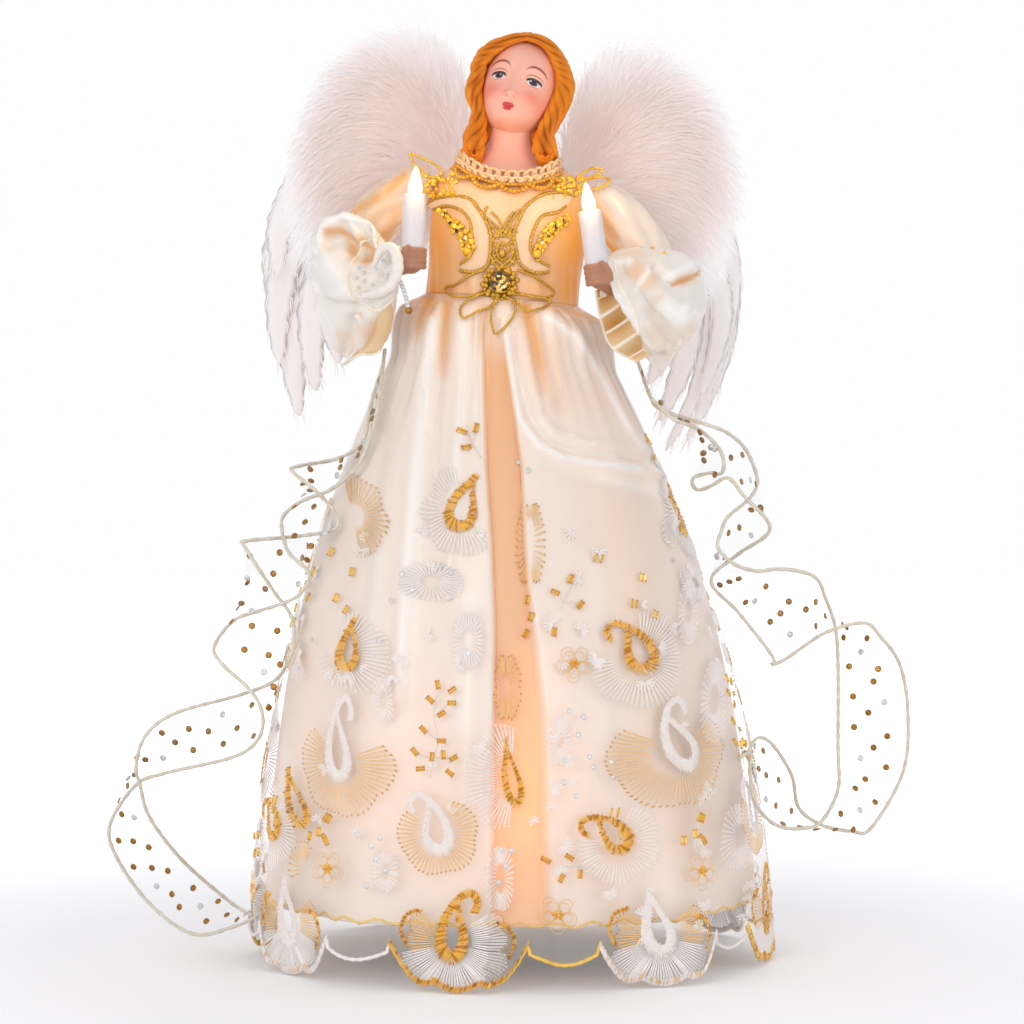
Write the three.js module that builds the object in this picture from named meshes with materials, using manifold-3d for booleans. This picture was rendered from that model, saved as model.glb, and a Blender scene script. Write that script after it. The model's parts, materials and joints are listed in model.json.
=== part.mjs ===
// Lighted angel for the top of a tree.
// Millimetres, +Z up, the front faces -Y, origin on the table under the middle of the hem.
import * as THREE from "three";
import Module from "manifold-3d";

const wasm = await Module();
wasm.setup();

// Fits
const clearance = 0.4; // gap between pieces that touch

// Stance of the figure
const waistHeight = 216;
const waistShift = -3; // the waist stands this far to the left of the hem's middle
const bodyLean = 5; // degrees to the right, about the waist

// Tree cone and petticoat
const coneMouthHeight = 16;
const coneMouthRadius = 52;
const coneTopRadius = 14;
const coneWall = 1.5;
const petticoatTopHeight = 165;
const petticoatHemHeight = 24;
const petticoatInset = 12; // under the satin
const petticoatWall = 1;

// Skirts
const waistHalfWidth = 25.2;
const waistHalfDepth = 17.8;
const hemRadius = 84;
const satinThickness = 1;
const overlayThickness = 0.8;
const satinHemHeight = 19;
const foldDepth = 2.4;
const pleatDepth = 5;
const lobeCount = 8; // large scallops of the hem
const lobeLift = 11; // height of the hem between the large scallops
const swagDrop = 3; // depth of the small scallops between them
const firstLobe = -101.25; // degrees from +X

// Lamps on the cone
const lampCount = 8;
const lampTopHeight = 110;
const lampLowHeight = 52;
const lampTurns = 1.75;
const lampSocketRadius = 4;
const lampSocketLength = 6;
const lampBaseRadius = 2;
const lampGlassRadius = 3;
const lampGlassLength = 7;
const leadRadius = 0.9;
const glandRadius = 3;
const glandLength = 6;

// Bodice and trims
const bodiceThickness = 1.2;
const bustHalfWidth = 26;
const bustHalfDepth = 19;
const necklineHalfWidth = 16.5;
const necklineHalfDepth = 12.5;
const necklineHeight = 45;
const necklineDip = 3; // the front is lower than the back by twice this
const coreDrop = 2; // the torso core reaches this far under the waist
const coreTop = 40.4; // and up to here above it
const collarRadius = 1.5;
const trimThickness = 0.8;
const cordRadius = 0.6;
const gemRadius = 3.8;
const gemHeight = 4.5;
const petalLength = 16;
const leafLength = 15;

// Head
const headHeight = 72; // middle of the head above the waist
const headRoll = 8; // degrees towards its left shoulder
const headLift = 12; // degrees, chin up
const neckRadius = 7;
const neckPlugRadius = 6;
const plugLow = 30; // foot of the neck plug above the waist

// Arms
const shoulderHeight = 36;
const shoulderDepth = 1; // behind the middle
const armWireRadius = 0.8;
const forearmRadius = 3.6;
const fistRadius = 5;
const cuffThickness = 1;
const candleSpread = 29.5; // candles to the middle
const candleForward = 33;
const candleHeight = 12.5;
const candleLeanLeft = -3; // degrees to the right, from the figure's own upright
const candleLeanRight = -13;
const candleRadius = 3.7;
const candleWall = 0.7;
const candleLength = 16;
const candleSocketWall = 0.9;
const flameRadius = 2.6;
const flameLength = 11.5;

// Wings
const downThickness = 9;
const wingCardThickness = 1;
const plumeThickness = 3;
const wingWireRadius = 0.8;
const padHalfWidth = 7;
const padDepth = 6.5;
const padLowHeight = 18;
const padTopHeight = 37;
const wingPinSpread = 5; // pins to the middle
const wingInset = 10; // inner edge of the feathers to the middle

// Streamers
const ribbonWidth = 20;
const ribbonThickness = 1;

const rad = THREE.MathUtils.degToRad;
const lerp = THREE.MathUtils.lerp;
const smooth = THREE.MathUtils.smoothstep;
const vec = (x, y, z) => new THREE.Vector3(x, y, z);

// Faces out, whichever way the rings ran
function oriented(points, faces) {
  let volume = 0;
  for (let i = 0; i < faces.length; i += 3) {
    const [a, b, c] = [points[faces[i]], points[faces[i + 1]], points[faces[i + 2]]];
    volume += a.dot(b.clone().cross(c));
  }
  const order = volume < 0 ? faces.slice().reverse() : faces;
  const geometry = new THREE.BufferGeometry().setFromPoints(points);
  geometry.setIndex(order);
  return geometry;
}

// Closed skin over a row of rings; a loop joins the last ring to the first, otherwise both ends are capped.
// From ring turnBack and corner foldBack on, quads split the other way, to match a thin sheet's other face.
function skin(rings, loop = false, turnBack = Infinity, foldBack = Infinity) {
  const count = rings[0].length;
  const points = rings.flat();
  const faces = [];
  const bands = loop ? rings.length : rings.length - 1;
  for (let row = 0; row < bands; row++) {
    const low = row * count;
    const high = ((row + 1) % rings.length) * count;
    for (let i = 0; i < count; i++) {
      const j = (i + 1) % count;
      if (row < turnBack && i < foldBack) {
        faces.push(low + i, low + j, high + j);
        faces.push(low + i, high + j, high + i);
      } else {
        faces.push(low + i, low + j, high + i);
        faces.push(low + j, high + j, high + i);
      }
    }
  }
  if (!loop) {
    const ends = [rings[0], rings[rings.length - 1]];
    ends.forEach((ring, end) => {
      const middle = points.length;
      const start = end * (rings.length - 1) * count;
      points.push(ring.reduce((sum, p) => sum.add(p), vec(0, 0, 0)).divideScalar(count));
      for (let i = 0; i < count; i++) {
        const j = (i + 1) % count;
        if (end) faces.push(middle, start + i, start + j);
        else faces.push(middle, start + j, start + i);
      }
    });
  }
  return oriented(points, faces);
}

function ring(halfWidth, halfDepth, height, sides, dip = 0) {
  return Array.from({ length: sides }, (_, i) => {
    const angle = (i / sides) * 2 * Math.PI;
    return vec(halfWidth * Math.cos(angle), halfDepth * Math.sin(angle), height + dip * Math.sin(angle));
  });
}

// Turned about +Z from pairs of radius and height
function turned(profile, sides, loop = false) {
  return skin(profile.map(([radius, height]) => ring(radius, radius, height, sides)), loop);
}

function rodAlong(curve, radius, sides, steps) {
  const corners = ring(radius, radius, 0, sides).map((p) => new THREE.Vector2(p.x, p.y));
  const section = new THREE.Shape(corners);
  return new THREE.ExtrudeGeometry(section, { extrudePath: curve, steps, bevelEnabled: false });
}

function spline(points, closed = false) {
  return new THREE.CatmullRomCurve3(points, closed, "centripetal");
}

function ball(halfWidth, halfDepth, halfHeight, middle) {
  const rows = 7;
  const rings = [];
  for (let i = 1; i < rows; i++) {
    const angle = (i / rows) * Math.PI;
    const wide = Math.sin(angle);
    const level = ring(halfWidth * wide, halfDepth * wide, -halfHeight * Math.cos(angle), 14);
    rings.push(level.map((p) => p.add(middle)));
  }
  return skin(rings);
}

function solidOf(geometry) {
  const source = geometry.index ? geometry.toNonIndexed() : geometry;
  const place = source.getAttribute("position");
  const found = new Map();
  const corners = [];
  const faces = [];
  for (let i = 0; i < place.count; i++) {
    const spot = [place.getX(i), place.getY(i), place.getZ(i)];
    const key = spot.map((v) => Math.round(v * 1e4)).join(" ");
    if (!found.has(key)) {
      found.set(key, found.size);
      corners.push(...spot);
    }
    faces.push(found.get(key));
  }
  const kept = [];
  for (let i = 0; i < faces.length; i += 3) {
    const [a, b, c] = faces.slice(i, i + 3);
    if (a !== b && b !== c && a !== c) kept.push(a, b, c);
  }
  const mesh = { numProp: 3, vertProperties: new Float32Array(corners), triVerts: new Uint32Array(kept) };
  return new wasm.Manifold(new wasm.Mesh(mesh));
}

function geometryOf(solid) {
  const mesh = solid.getMesh();
  const geometry = new THREE.BufferGeometry();
  const corners = new Float32Array(mesh.vertProperties);
  geometry.setAttribute("position", new THREE.BufferAttribute(corners, 3));
  geometry.setIndex(Array.from(mesh.triVerts));
  return geometry;
}

const topper = new THREE.Group();
const figure = new THREE.Group(); // everything above the waist
figure.position.set(waistShift, 0, waistHeight);
figure.rotation.y = rad(bodyLean);
topper.add(figure);

function piece(home, name, geometry, color, finish = {}) {
  const material = new THREE.MeshStandardMaterial({ color, roughness: 0.7, ...finish });
  const mesh = new THREE.Mesh(geometry, material);
  mesh.name = name;
  home.add(mesh);
  return mesh;
}

// Skirt surface; share runs from 0 at the waist to 1 at the table
const skirtSides = 64;
const skirtShare = (height) => (waistHeight - height) / waistHeight;
const skirtRadius = (share) => waistHalfWidth + (hemRadius - waistHalfWidth) * share * (2 - share);
const skirtDepth = (share) => lerp(waistHalfDepth / waistHalfWidth, 1, smooth(share, 0, 0.28));
const overlayInside = clearance + 0.1;
const overlayOutside = overlayInside + overlayThickness;

function skirtFold(angle, share) {
  const gathers = 0.6 * Math.cos(9 * angle + 1.1) + 0.4 * Math.cos(14 * angle - 0.4);
  const fromFront = Math.abs(Math.atan2(-Math.cos(angle), -Math.sin(angle)));
  const pleat = (1 - smooth(fromFront, rad(5), rad(10))) * smooth(share, 0, 0.25);
  return foldDepth * share * gathers - pleatDepth * pleat;
}

function skirtPoint(angle, height, offset) {
  const share = skirtShare(height);
  const radius = skirtRadius(share) + offset + skirtFold(angle, share);
  const x = waistShift * (1 - share) + radius * Math.cos(angle);
  const y = radius * skirtDepth(share) * Math.sin(angle);
  const drop = (x - waistShift) * Math.tan(rad(bodyLean)) * Math.pow(1 - share, 3);
  return vec(x, y, height - drop);
}

function skirtRing(heightAt, offset) {
  return Array.from({ length: skirtSides }, (_, i) => {
    const angle = (i / skirtSides) * 2 * Math.PI;
    return skirtPoint(angle, heightAt(angle), offset);
  });
}

const skirtTop = waistHeight - clearance;
const skirtShares = [0, 0.06, 0.18, 0.38, 0.66, 1];
const skirtLevels = skirtShares.map((share) => lerp(skirtTop, satinHemHeight, share));

// Large scallops stand flat on the table, small ones hang between them
function hemHeight(angle) {
  const pitch = 360 / lobeCount;
  const turn = THREE.MathUtils.radToDeg(angle) - firstLobe;
  const from = Math.abs(THREE.MathUtils.euclideanModulo(turn + pitch / 2, pitch) - pitch / 2);
  const flatHalf = pitch / 8;
  const lobeHalf = pitch / 3;
  const rise = Math.max(0, from - flatHalf * 1.001) / (lobeHalf - flatHalf);
  if (from <= lobeHalf) return lobeLift * Math.pow(rise, 1.6);
  const swag = (from - lobeHalf) / (pitch / 2 - lobeHalf);
  return lobeLift - swagDrop * Math.sin((swag * Math.PI) / 2);
}

function addSkirts() {
  const satinOut = skirtLevels.map((height) => skirtRing(() => height, 0));
  const satinIn = skirtLevels.map((height) => skirtRing(() => height, -satinThickness));
  const satin = skin([...satinOut, ...satinIn.reverse()], true, satinOut.length);
  piece(topper, "satin_skirt", satin, 0xf3dfc2);
  const levels = [...skirtLevels.map((height) => () => height), hemHeight];
  const sheerOut = levels.map((level) => skirtRing(level, overlayOutside));
  const sheerIn = levels.map((level) => skirtRing(level, overlayInside));
  const sheer = skin([...sheerIn, ...sheerOut.reverse()], true, sheerIn.length);
  piece(topper, "organza_overlay", sheer, 0xf7ecdc);
}

// Cone, closed by the torso core above it
const coneTopHeight =
  waistHeight - (coneTopRadius - waistShift) * Math.sin(rad(bodyLean)) - coreDrop - clearance;
const coneSlope = (coneMouthRadius - coneTopRadius) / (coneTopHeight - coneMouthHeight);
const coneRadius = (height) => coneMouthRadius - coneSlope * (height - coneMouthHeight);

function addCone() {
  const profile = [
    [coneTopRadius, coneTopHeight],
    [coneMouthRadius, coneMouthHeight],
    [coneMouthRadius - coneWall, coneMouthHeight],
    [coneTopRadius - coneWall, coneTopHeight],
  ];
  piece(topper, "tree_cone", turned(profile, 32, true), 0xd9cdb4);
  const under = (height) => skirtRadius(skirtShare(height)) - petticoatInset;
  const outer = [[coneRadius(petticoatTopHeight) + clearance + petticoatWall, petticoatTopHeight]];
  for (const share of [0.2, 0.55, 1]) {
    const height = lerp(petticoatTopHeight, petticoatHemHeight, share);
    outer.push([under(height), height]);
  }
  const inner = outer.map(([radius, height]) => [radius - petticoatWall, height]).reverse();
  piece(topper, "petticoat", turned([...outer, ...inner], 28, true), 0xf6efe6);
}

// Lamps stand square on the cone, along a falling spiral; the lead runs under them
const coneTilt = Math.atan(coneSlope);
const lampAngle = (share) => rad(45) + share * lampTurns * 2 * Math.PI;
const lampLevel = (share) => lerp(lampTopHeight, lampLowHeight, share);

function onCone(angle, height, away) {
  const radius = coneRadius(height) + away * Math.cos(coneTilt);
  return vec(radius * Math.cos(angle), radius * Math.sin(angle), height + away * Math.sin(coneTilt));
}

function standOnCone(angle, height) {
  const stand = new THREE.Group();
  const normal = onCone(angle, height, 1).sub(onCone(angle, height, 0));
  stand.position.copy(onCone(angle, height, clearance));
  stand.quaternion.setFromUnitVectors(vec(0, 0, 1), normal.normalize());
  topper.add(stand);
  return stand;
}

function addLamps() {
  const bore = lampBaseRadius + clearance;
  const floor = lampSocketLength / 3;
  const seat = lampSocketLength + clearance;
  const socket = [
    [lampSocketRadius, 0],
    [lampSocketRadius, lampSocketLength],
    [bore, lampSocketLength],
    [bore, floor],
  ];
  const glass = [
    [lampBaseRadius, floor + clearance],
    [lampBaseRadius, seat],
    [lampGlassRadius * 0.9, seat],
    [lampGlassRadius, seat + lampGlassLength * 0.3],
    [lampGlassRadius * 0.6, seat + lampGlassLength * 0.75],
    [lampGlassRadius * 0.15, seat + lampGlassLength],
  ];
  for (let i = 0; i < lampCount; i++) {
    const share = i / (lampCount - 1);
    const stand = standOnCone(lampAngle(share), lampLevel(share));
    piece(stand, `skirt_lamp_socket_${i + 1}`, turned(socket, 7), 0xf4f2ea);
    piece(stand, `skirt_lamp_bulb_${i + 1}`, turned(glass, 7), 0xffe2a8, { roughness: 0.2 });
  }
  const under = (lampSocketRadius + leadRadius + clearance * 2) / Math.cos(coneTilt);
  const lead = Array.from({ length: 43 }, (_, i) => {
    const share = lerp(-0.03, 1.03, i / 42);
    return onCone(lampAngle(share), lampLevel(share) - under, leadRadius + clearance * 2);
  });
  piece(topper, "lamp_lead", rodAlong(spline(lead), leadRadius, 4, 48), 0xe8e4d8);
  const end = 1.03;
  const endAngle = lampAngle(end) + (glandRadius + clearance * 2) / coneRadius(lampLevel(end) - under);
  const gland = standOnCone(endAngle, lampLevel(end) - under);
  piece(gland, "lead_gland", turned([[glandRadius, 0], [glandRadius, glandLength]], 10), 0xefece2);
}

// Bodice half-width, half-depth and height, from the waist to the neckline
const bodiceLevels = [
  [waistHalfWidth - 0.2, waistHalfDepth - 0.3, 0, 0],
  [waistHalfWidth - 0.4, waistHalfDepth, 8, 0],
  [bustHalfWidth - 0.4, bustHalfDepth, 20, 0],
  [bustHalfWidth - 0.4, bustHalfDepth - 0.5, 30, 0],
  [bustHalfWidth - 0.8, bustHalfDepth - 2, shoulderHeight + 1, 0],
  [(bustHalfWidth + necklineHalfWidth) / 2, (bustHalfDepth + necklineHalfDepth) / 2 - 1, 42, necklineDip / 2],
  [necklineHalfWidth, necklineHalfDepth, necklineHeight, necklineDip],
];
const bodiceSides = 26;

function bodiceSize(height) {
  const next = Math.min(
    bodiceLevels.length - 1,
    Math.max(1, bodiceLevels.findIndex((level) => level[2] >= height)),
  );
  const [low, high] = [bodiceLevels[next - 1], bodiceLevels[next]];
  const share = THREE.MathUtils.clamp((height - low[2]) / (high[2] - low[2]), 0, 1);
  return [lerp(low[0], high[0], share), lerp(low[1], high[1], share)];
}

function bodiceFront(x, height) {
  const [halfWidth, halfDepth] = bodiceSize(height);
  return -halfDepth * Math.sqrt(Math.max(0.02, 1 - (x / halfWidth) ** 2));
}

function bodiceRing(level, inset, drop) {
  const [halfWidth, halfDepth, height, dip] = level;
  return ring(halfWidth - inset, halfDepth - inset, height - drop, bodiceSides, dip);
}

// Straight bore for the arm wires, along the shoulder line
function shoulderBore() {
  const line = new THREE.LineCurve3(
    vec(-bustHalfWidth - 5, shoulderDepth, shoulderHeight),
    vec(bustHalfWidth + 5, shoulderDepth, shoulderHeight),
  );
  return solidOf(rodAlong(line, armWireRadius + clearance, 8, 1));
}

function addBodice() {
  const outer = bodiceLevels.map((level) => bodiceRing(level, 0, 0));
  const inner = bodiceLevels.map((level) => bodiceRing(level, bodiceThickness, 0));
  const shell = solidOf(skin([...outer, ...inner.reverse()], true, outer.length));
  piece(figure, "bodice", geometryOf(shell.subtract(shoulderBore())), 0xf1dcb6);
  const inset = bodiceThickness + clearance;
  const levels = bodiceLevels.slice(0, -1).map((level) => bodiceRing(level, inset, 0));
  levels[0].forEach((p) => p.setZ(-coreDrop));
  levels[levels.length - 1].forEach((p) => p.setZ(coreTop));
  const plugFit = neckPlugRadius + clearance;
  const plugBore = turned([[plugFit, plugLow - clearance], [plugFit, necklineHeight + 15]], 16);
  const core = solidOf(skin(levels)).subtract(shoulderBore()).subtract(solidOf(plugBore));
  piece(figure, "torso_core", geometryOf(core), 0xe6d9c2);
}

// Front of the dress under a trim, bodice above the waist and skirt below it
function dressFront(x, height) {
  const share = Math.max(0, -height / waistHeight);
  const halfWidth = skirtRadius(share) + overlayOutside + foldDepth * share;
  const bulge = halfWidth * skirtDepth(share) * Math.sqrt(Math.max(0.02, 1 - (x / halfWidth) ** 2));
  const cover = smooth(-height, -3, 0);
  return Math.min(bodiceFront(x, Math.max(0, height)), -bulge * lerp(0.8, 1, cover));
}

// Flat trim along a middle line of x, height and half-width, laid on the bodice
function trimAlong(line) {
  const rows = line.map(([x, height, half], i) => {
    const before = line[Math.max(0, i - 1)];
    const after = line[Math.min(line.length - 1, i + 1)];
    const run = new THREE.Vector2(after[0] - before[0], after[1] - before[1]).normalize();
    const across = [-1, 0, 1].map((side) => [x - run.y * half * side, height + run.x * half * side]);
    const lay = (away) => across.map(([px, pz]) => vec(px, bodiceFront(px, pz) - away, pz));
    return [...lay(clearance), ...lay(clearance + trimThickness).reverse()];
  });
  return skin(rows, false, Infinity, rows[0].length / 2);
}

function addTrims() {
  for (const [side, word] of [[-1, "left"], [1, "right"]]) {
    const crescent = [
      [side * 20, 34, 0.8],
      [side * 14.5, 32.5, 2.6],
      [side * 10, 28.5, 3.6],
      [side * 8.2, 22, 3.9],
      [side * 8.6, 16.5, 3.4],
      [side * 11, 12.6, 2],
      [side * 15, 10.6, 0.8],
    ];
    piece(figure, `crescent_${word}`, trimAlong(crescent), 0xe8c98a);
    const leafOutline = [[0, 0.8], [0.25, 3.4], [0.55, 4.2], [0.8, 2.6], [1, 0.5]];
    const leafRows = leafOutline.map(([share, half]) => {
      const x = side * (20.2 + leafLength * 0.93 * share);
      const middle = vec(x, -3, 42.7 + leafLength * 0.3 * share);
      const low = [vec(0, -half, 0), vec(0, half, 0)];
      const high = [vec(0, half, trimThickness), vec(0, -half, trimThickness)];
      return [...low, ...high].map((p) => p.add(middle));
    });
    piece(figure, `shoulder_leaf_${word}`, skin(leafRows), 0xe2c483);
  }
  const column = [[0, 12, 3], [0, 17, 3.4], [0, 22, 3], [0, 26, 3.4], [0, 32, 1]];
  piece(figure, "net_column", trimAlong(column), 0xd9b257);

  const gemBack = dressFront(0, gemHeight) - clearance;
  const gem = [[gemRadius, 0], [gemRadius, 1], [gemRadius * 0.75, 2.6], [gemRadius * 0.3, 3.4]];
  const jewel = piece(figure, "waist_gem", turned(gem, 10), 0xd8a634, { metalness: 0.6 });
  jewel.position.set(0, gemBack, gemHeight);
  jewel.rotation.x = Math.PI / 2;

  const hubRadius = gemRadius + clearance + cordRadius;
  const laid = (x, z) => vec(x, dressFront(x, z) - clearance - cordRadius - 0.4, z);
  const loop = (points, steps) => new THREE.TubeGeometry(spline(points, true), steps, cordRadius, 4, true);
  const hub = Array.from({ length: 12 }, (_, i) => {
    const angle = (i / 12) * 2 * Math.PI;
    return laid(hubRadius * Math.cos(angle), gemHeight + hubRadius * Math.sin(angle));
  });
  let flower = solidOf(loop(hub, 18));
  for (const heading of [190, 226, 270, 334, 355]) {
    const [ux, uz] = [Math.cos(rad(heading)), Math.sin(rad(heading))];
    const outline = [[0, 0], [0.3, 0.18], [0.65, 0.2], [1, 0], [0.65, -0.2], [0.3, -0.18]];
    const petal = outline.map(([along, across]) => {
      const reach = hubRadius + along * petalLength;
      const x = reach * ux - across * petalLength * uz;
      return laid(x, gemHeight + reach * uz + across * petalLength * ux);
    });
    flower = flower.add(solidOf(loop(petal, 14)));
  }
  piece(figure, "waist_flower", geometryOf(flower), 0xd9ab3e, { metalness: 0.4 });

  const collar = Array.from({ length: 44 }, (_, i) => {
    const angle = (i / 44) * 2 * Math.PI;
    const wave = 0.4 * Math.cos(22 * angle);
    const x = (necklineHalfWidth + 0.9 + wave) * Math.cos(angle);
    const y = (necklineHalfDepth + 0.9 + wave) * Math.sin(angle);
    return vec(x, y, necklineHeight + collarRadius + clearance + necklineDip * Math.sin(angle));
  });
  const braid = new THREE.TubeGeometry(spline(collar, true), 48, collarRadius, 5, true);
  piece(figure, "collar_braid", braid, 0xdcb75c);
}

// Head, hair, neck and shoulder plate are one casting
function addHead() {
  const place = new THREE.Matrix4().makeTranslation(0, 0, headHeight);
  const turn = new THREE.Euler(rad(-headLift), rad(headRoll), rad(-4), "ZYX");
  place.multiply(new THREE.Matrix4().makeRotationFromEuler(turn));
  const set = (geometry) => solidOf(geometry.applyMatrix4(place));
  let head = set(ball(11.4, 12, 14.2, vec(0, -3, -0.8)));
  head = head.add(set(ball(14.6, 14.4, 14.6, vec(0, 2, 1.4))));
  head = head.add(set(ball(1.5, 1.8, 2.6, vec(0, -14.4, -2.2))));
  for (const side of [-1, 1]) {
    const lock = [
      vec(side * 7, -4, 8),
      vec(side * 12.4, -5, 5),
      vec(side * 14.4, -4, -1),
      vec(side * 13.2, -3, -8),
      vec(side * 14, -2, -14),
      vec(side * 11.6, -3, -18.5),
    ];
    head = head.add(set(rodAlong(spline(lock), 4.4, 7, 10)));
  }
  const plateWidth = necklineHalfWidth - bodiceThickness - 2;
  const plateDepth = necklineHalfDepth - bodiceThickness - 1.6;
  const bust = [
    [neckPlugRadius, neckPlugRadius, plugLow],
    [neckPlugRadius, neckPlugRadius, coreTop + clearance],
    [plateWidth, plateDepth, coreTop + clearance],
    [plateWidth, plateDepth, coreTop + 3],
    [(plateWidth + neckRadius) / 2, (plateDepth + neckRadius) / 2, coreTop + 6.5],
    [neckRadius, neckRadius, coreTop + 11],
    [neckRadius, neckRadius, headHeight - 8],
  ];
  head = head.add(solidOf(skin(bust.map(([wide, deep, height]) => ring(wide, deep, height, 18)))));
  piece(figure, "head_casting", geometryOf(head), 0xe9b48e);
}

// Arm line from the shoulder over the elbow to the cuff's mouth
const elbowShare = 0.56;
const sleeveSides = 18;

function armLine(side) {
  const spots = [
    [bustHalfWidth + 0.6, shoulderDepth, shoulderHeight],
    [33, shoulderDepth, shoulderHeight - 2.5],
    [40, shoulderDepth, shoulderHeight - 9],
    [46, shoulderDepth - 0.5, shoulderHeight - 16],
    [50, shoulderDepth - 1.5, shoulderHeight - 23.5],
    [51, shoulderDepth - 6, shoulderHeight - 29.5],
    [50, shoulderDepth - 12.5, shoulderHeight - 33.5],
    [47.5, shoulderDepth - 20, shoulderHeight - 35.5],
  ];
  return spline(spots.map(([x, y, z]) => vec(side * x, y, z)));
}

// Ring round the arm line, with its own half-width and half-height
function armRing(line, share, wide, tall, ruffle = 0) {
  const middle = line.getPointAt(share);
  const along = line.getTangentAt(share);
  const across = vec(0, -1, 0.2).cross(along).cross(along).normalize();
  const upright = along.clone().cross(across).normalize();
  return Array.from({ length: sleeveSides }, (_, i) => {
    const angle = (i / sleeveSides) * 2 * Math.PI;
    const wave = 1 + ruffle * Math.cos(5 * angle);
    const p = middle.clone().addScaledVector(across, tall * wave * Math.cos(angle));
    return p.addScaledVector(upright, wide * wave * Math.sin(angle));
  });
}

function addArm(side, word) {
  const line = armLine(side);
  const first = line.getPointAt(0);
  const wireEnd = 0.8;
  const wireSpots = [12, 18, 23].map((x) => vec(side * x, first.y, first.z));
  for (let i = 0; i <= 8; i++) wireSpots.push(line.getPointAt((i / 8) * wireEnd));
  const wireLine = spline(wireSpots);
  const channel = solidOf(rodAlong(wireLine, armWireRadius + clearance + 0.1, 5, 18));
  piece(figure, `arm_wire_${word}`, rodAlong(wireLine, armWireRadius, 5, 18), 0x9a9a98, { metalness: 0.8 });

  const sleeveSizes = [[0, 7.6], [0.12, 8.8], [0.28, 9.2], [0.44, 9], [elbowShare, 7.6]];
  const sleeve = skin(sleeveSizes.map(([share, size]) => armRing(line, share, size, size)));
  const startCut = skin(
    [side * (bustHalfWidth + 0.2), side * (bustHalfWidth - 20)].map((x) => {
      return [[-40, -40], [40, -40], [40, 90], [-40, 90]].map(([y, z]) => vec(x, y, z));
    }),
  );
  const upper = solidOf(sleeve).subtract(solidOf(startCut)).subtract(channel);
  piece(figure, `upper_sleeve_${word}`, geometryOf(upper), 0xefd9b4);

  const start = elbowShare + 0.9 / line.getLength();
  const cuffSizes = [[0, 7.8, 7.8, 0], [0.25, 11.5, 12, 0.02], [0.6, 14, 17, 0.07], [1, 15, 20, 0.14]];
  const cuffRing = ([share, wide, tall, ruffle], inset) => {
    return armRing(line, lerp(start, 1, share), wide - inset, tall - inset, ruffle);
  };
  const cuffOut = cuffSizes.map((size) => cuffRing(size, 0));
  const cuffIn = cuffSizes.slice(1).map((size) => cuffRing(size, cuffThickness)).reverse();
  const cuff = solidOf(skin([...cuffOut, ...cuffIn], false, cuffOut.length)).subtract(channel);
  piece(figure, `cuff_flounce_${word}`, geometryOf(cuff), 0xf4e6cc);

  const candle = new THREE.Group();
  candle.position.set(side * candleSpread, -candleForward, candleHeight);
  candle.rotation.y = rad(side < 0 ? candleLeanLeft : candleLeanRight);
  figure.add(candle);
  candle.updateMatrix();
  const held = (geometry) => solidOf(geometry.applyMatrix4(candle.matrix));
  const fistMiddle = vec(0, 0, -fistRadius + 0.6).applyMatrix4(candle.matrix);
  const socketRadius = candleRadius - candleWall - clearance;
  const socketBore = socketRadius - candleSocketWall;
  const forearmLine = spline([
    line.getPointAt(0.74),
    line.getPointAt(0.84),
    vec(side * (candleSpread + 9), -candleForward + 8, fistMiddle.z - 8),
    fistMiddle,
  ]);
  let hand = solidOf(rodAlong(forearmLine, forearmRadius, 8, 8));
  hand = hand.add(solidOf(ball(fistRadius, fistRadius, fistRadius, fistMiddle)));
  hand = hand.subtract(held(turned([[candleRadius + 4, -clearance], [candleRadius + 4, 12]], 12)));
  hand = hand.subtract(held(turned([[socketRadius + clearance, -14], [socketRadius + clearance, 4]], 12)));
  piece(figure, `hand_${word}`, geometryOf(hand.subtract(channel)), 0xd9a184);

  const bulbFloor = candleLength * 0.4;
  const socketTop = candleLength - 3;
  const tube = [
    [candleRadius, 0],
    [candleRadius, candleLength],
    [candleRadius - candleWall, candleLength],
    [candleRadius - candleWall, 0],
  ];
  const socket = [
    [socketRadius, -6],
    [socketRadius, socketTop],
    [socketBore, socketTop],
    [socketBore, bulbFloor],
  ];
  const flame = [
    [socketBore - clearance, bulbFloor + clearance],
    [socketBore - clearance, candleLength],
    [flameRadius * 0.9, candleLength + 0.4],
    [flameRadius, candleLength + flameLength * 0.25],
    [flameRadius * 0.8, candleLength + flameLength * 0.5],
    [flameRadius * 0.45, candleLength + flameLength * 0.8],
    [flameRadius * 0.1, candleLength + flameLength],
  ];
  piece(candle, `candle_tube_${word}`, turned(tube, 12, true), 0xf7f5f0);
  piece(candle, `candle_socket_${word}`, turned(socket, 9), 0xefeee8);
  piece(candle, `flame_bulb_${word}`, turned(flame, 9), 0xffdf9a, { roughness: 0.2 });
}

// Wing layers from front to back: down, card with the wire round it, plumes
const wingFront = bustHalfDepth + clearance + 0.2;
const cardFront = wingFront + downThickness + clearance + wingWireRadius - wingCardThickness / 2;
const wireDepth = cardFront + wingCardThickness / 2;
const plumeFront = wireDepth + wingWireRadius + clearance;
const pinDepth = bustHalfDepth + clearance + padDepth / 2;

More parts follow.
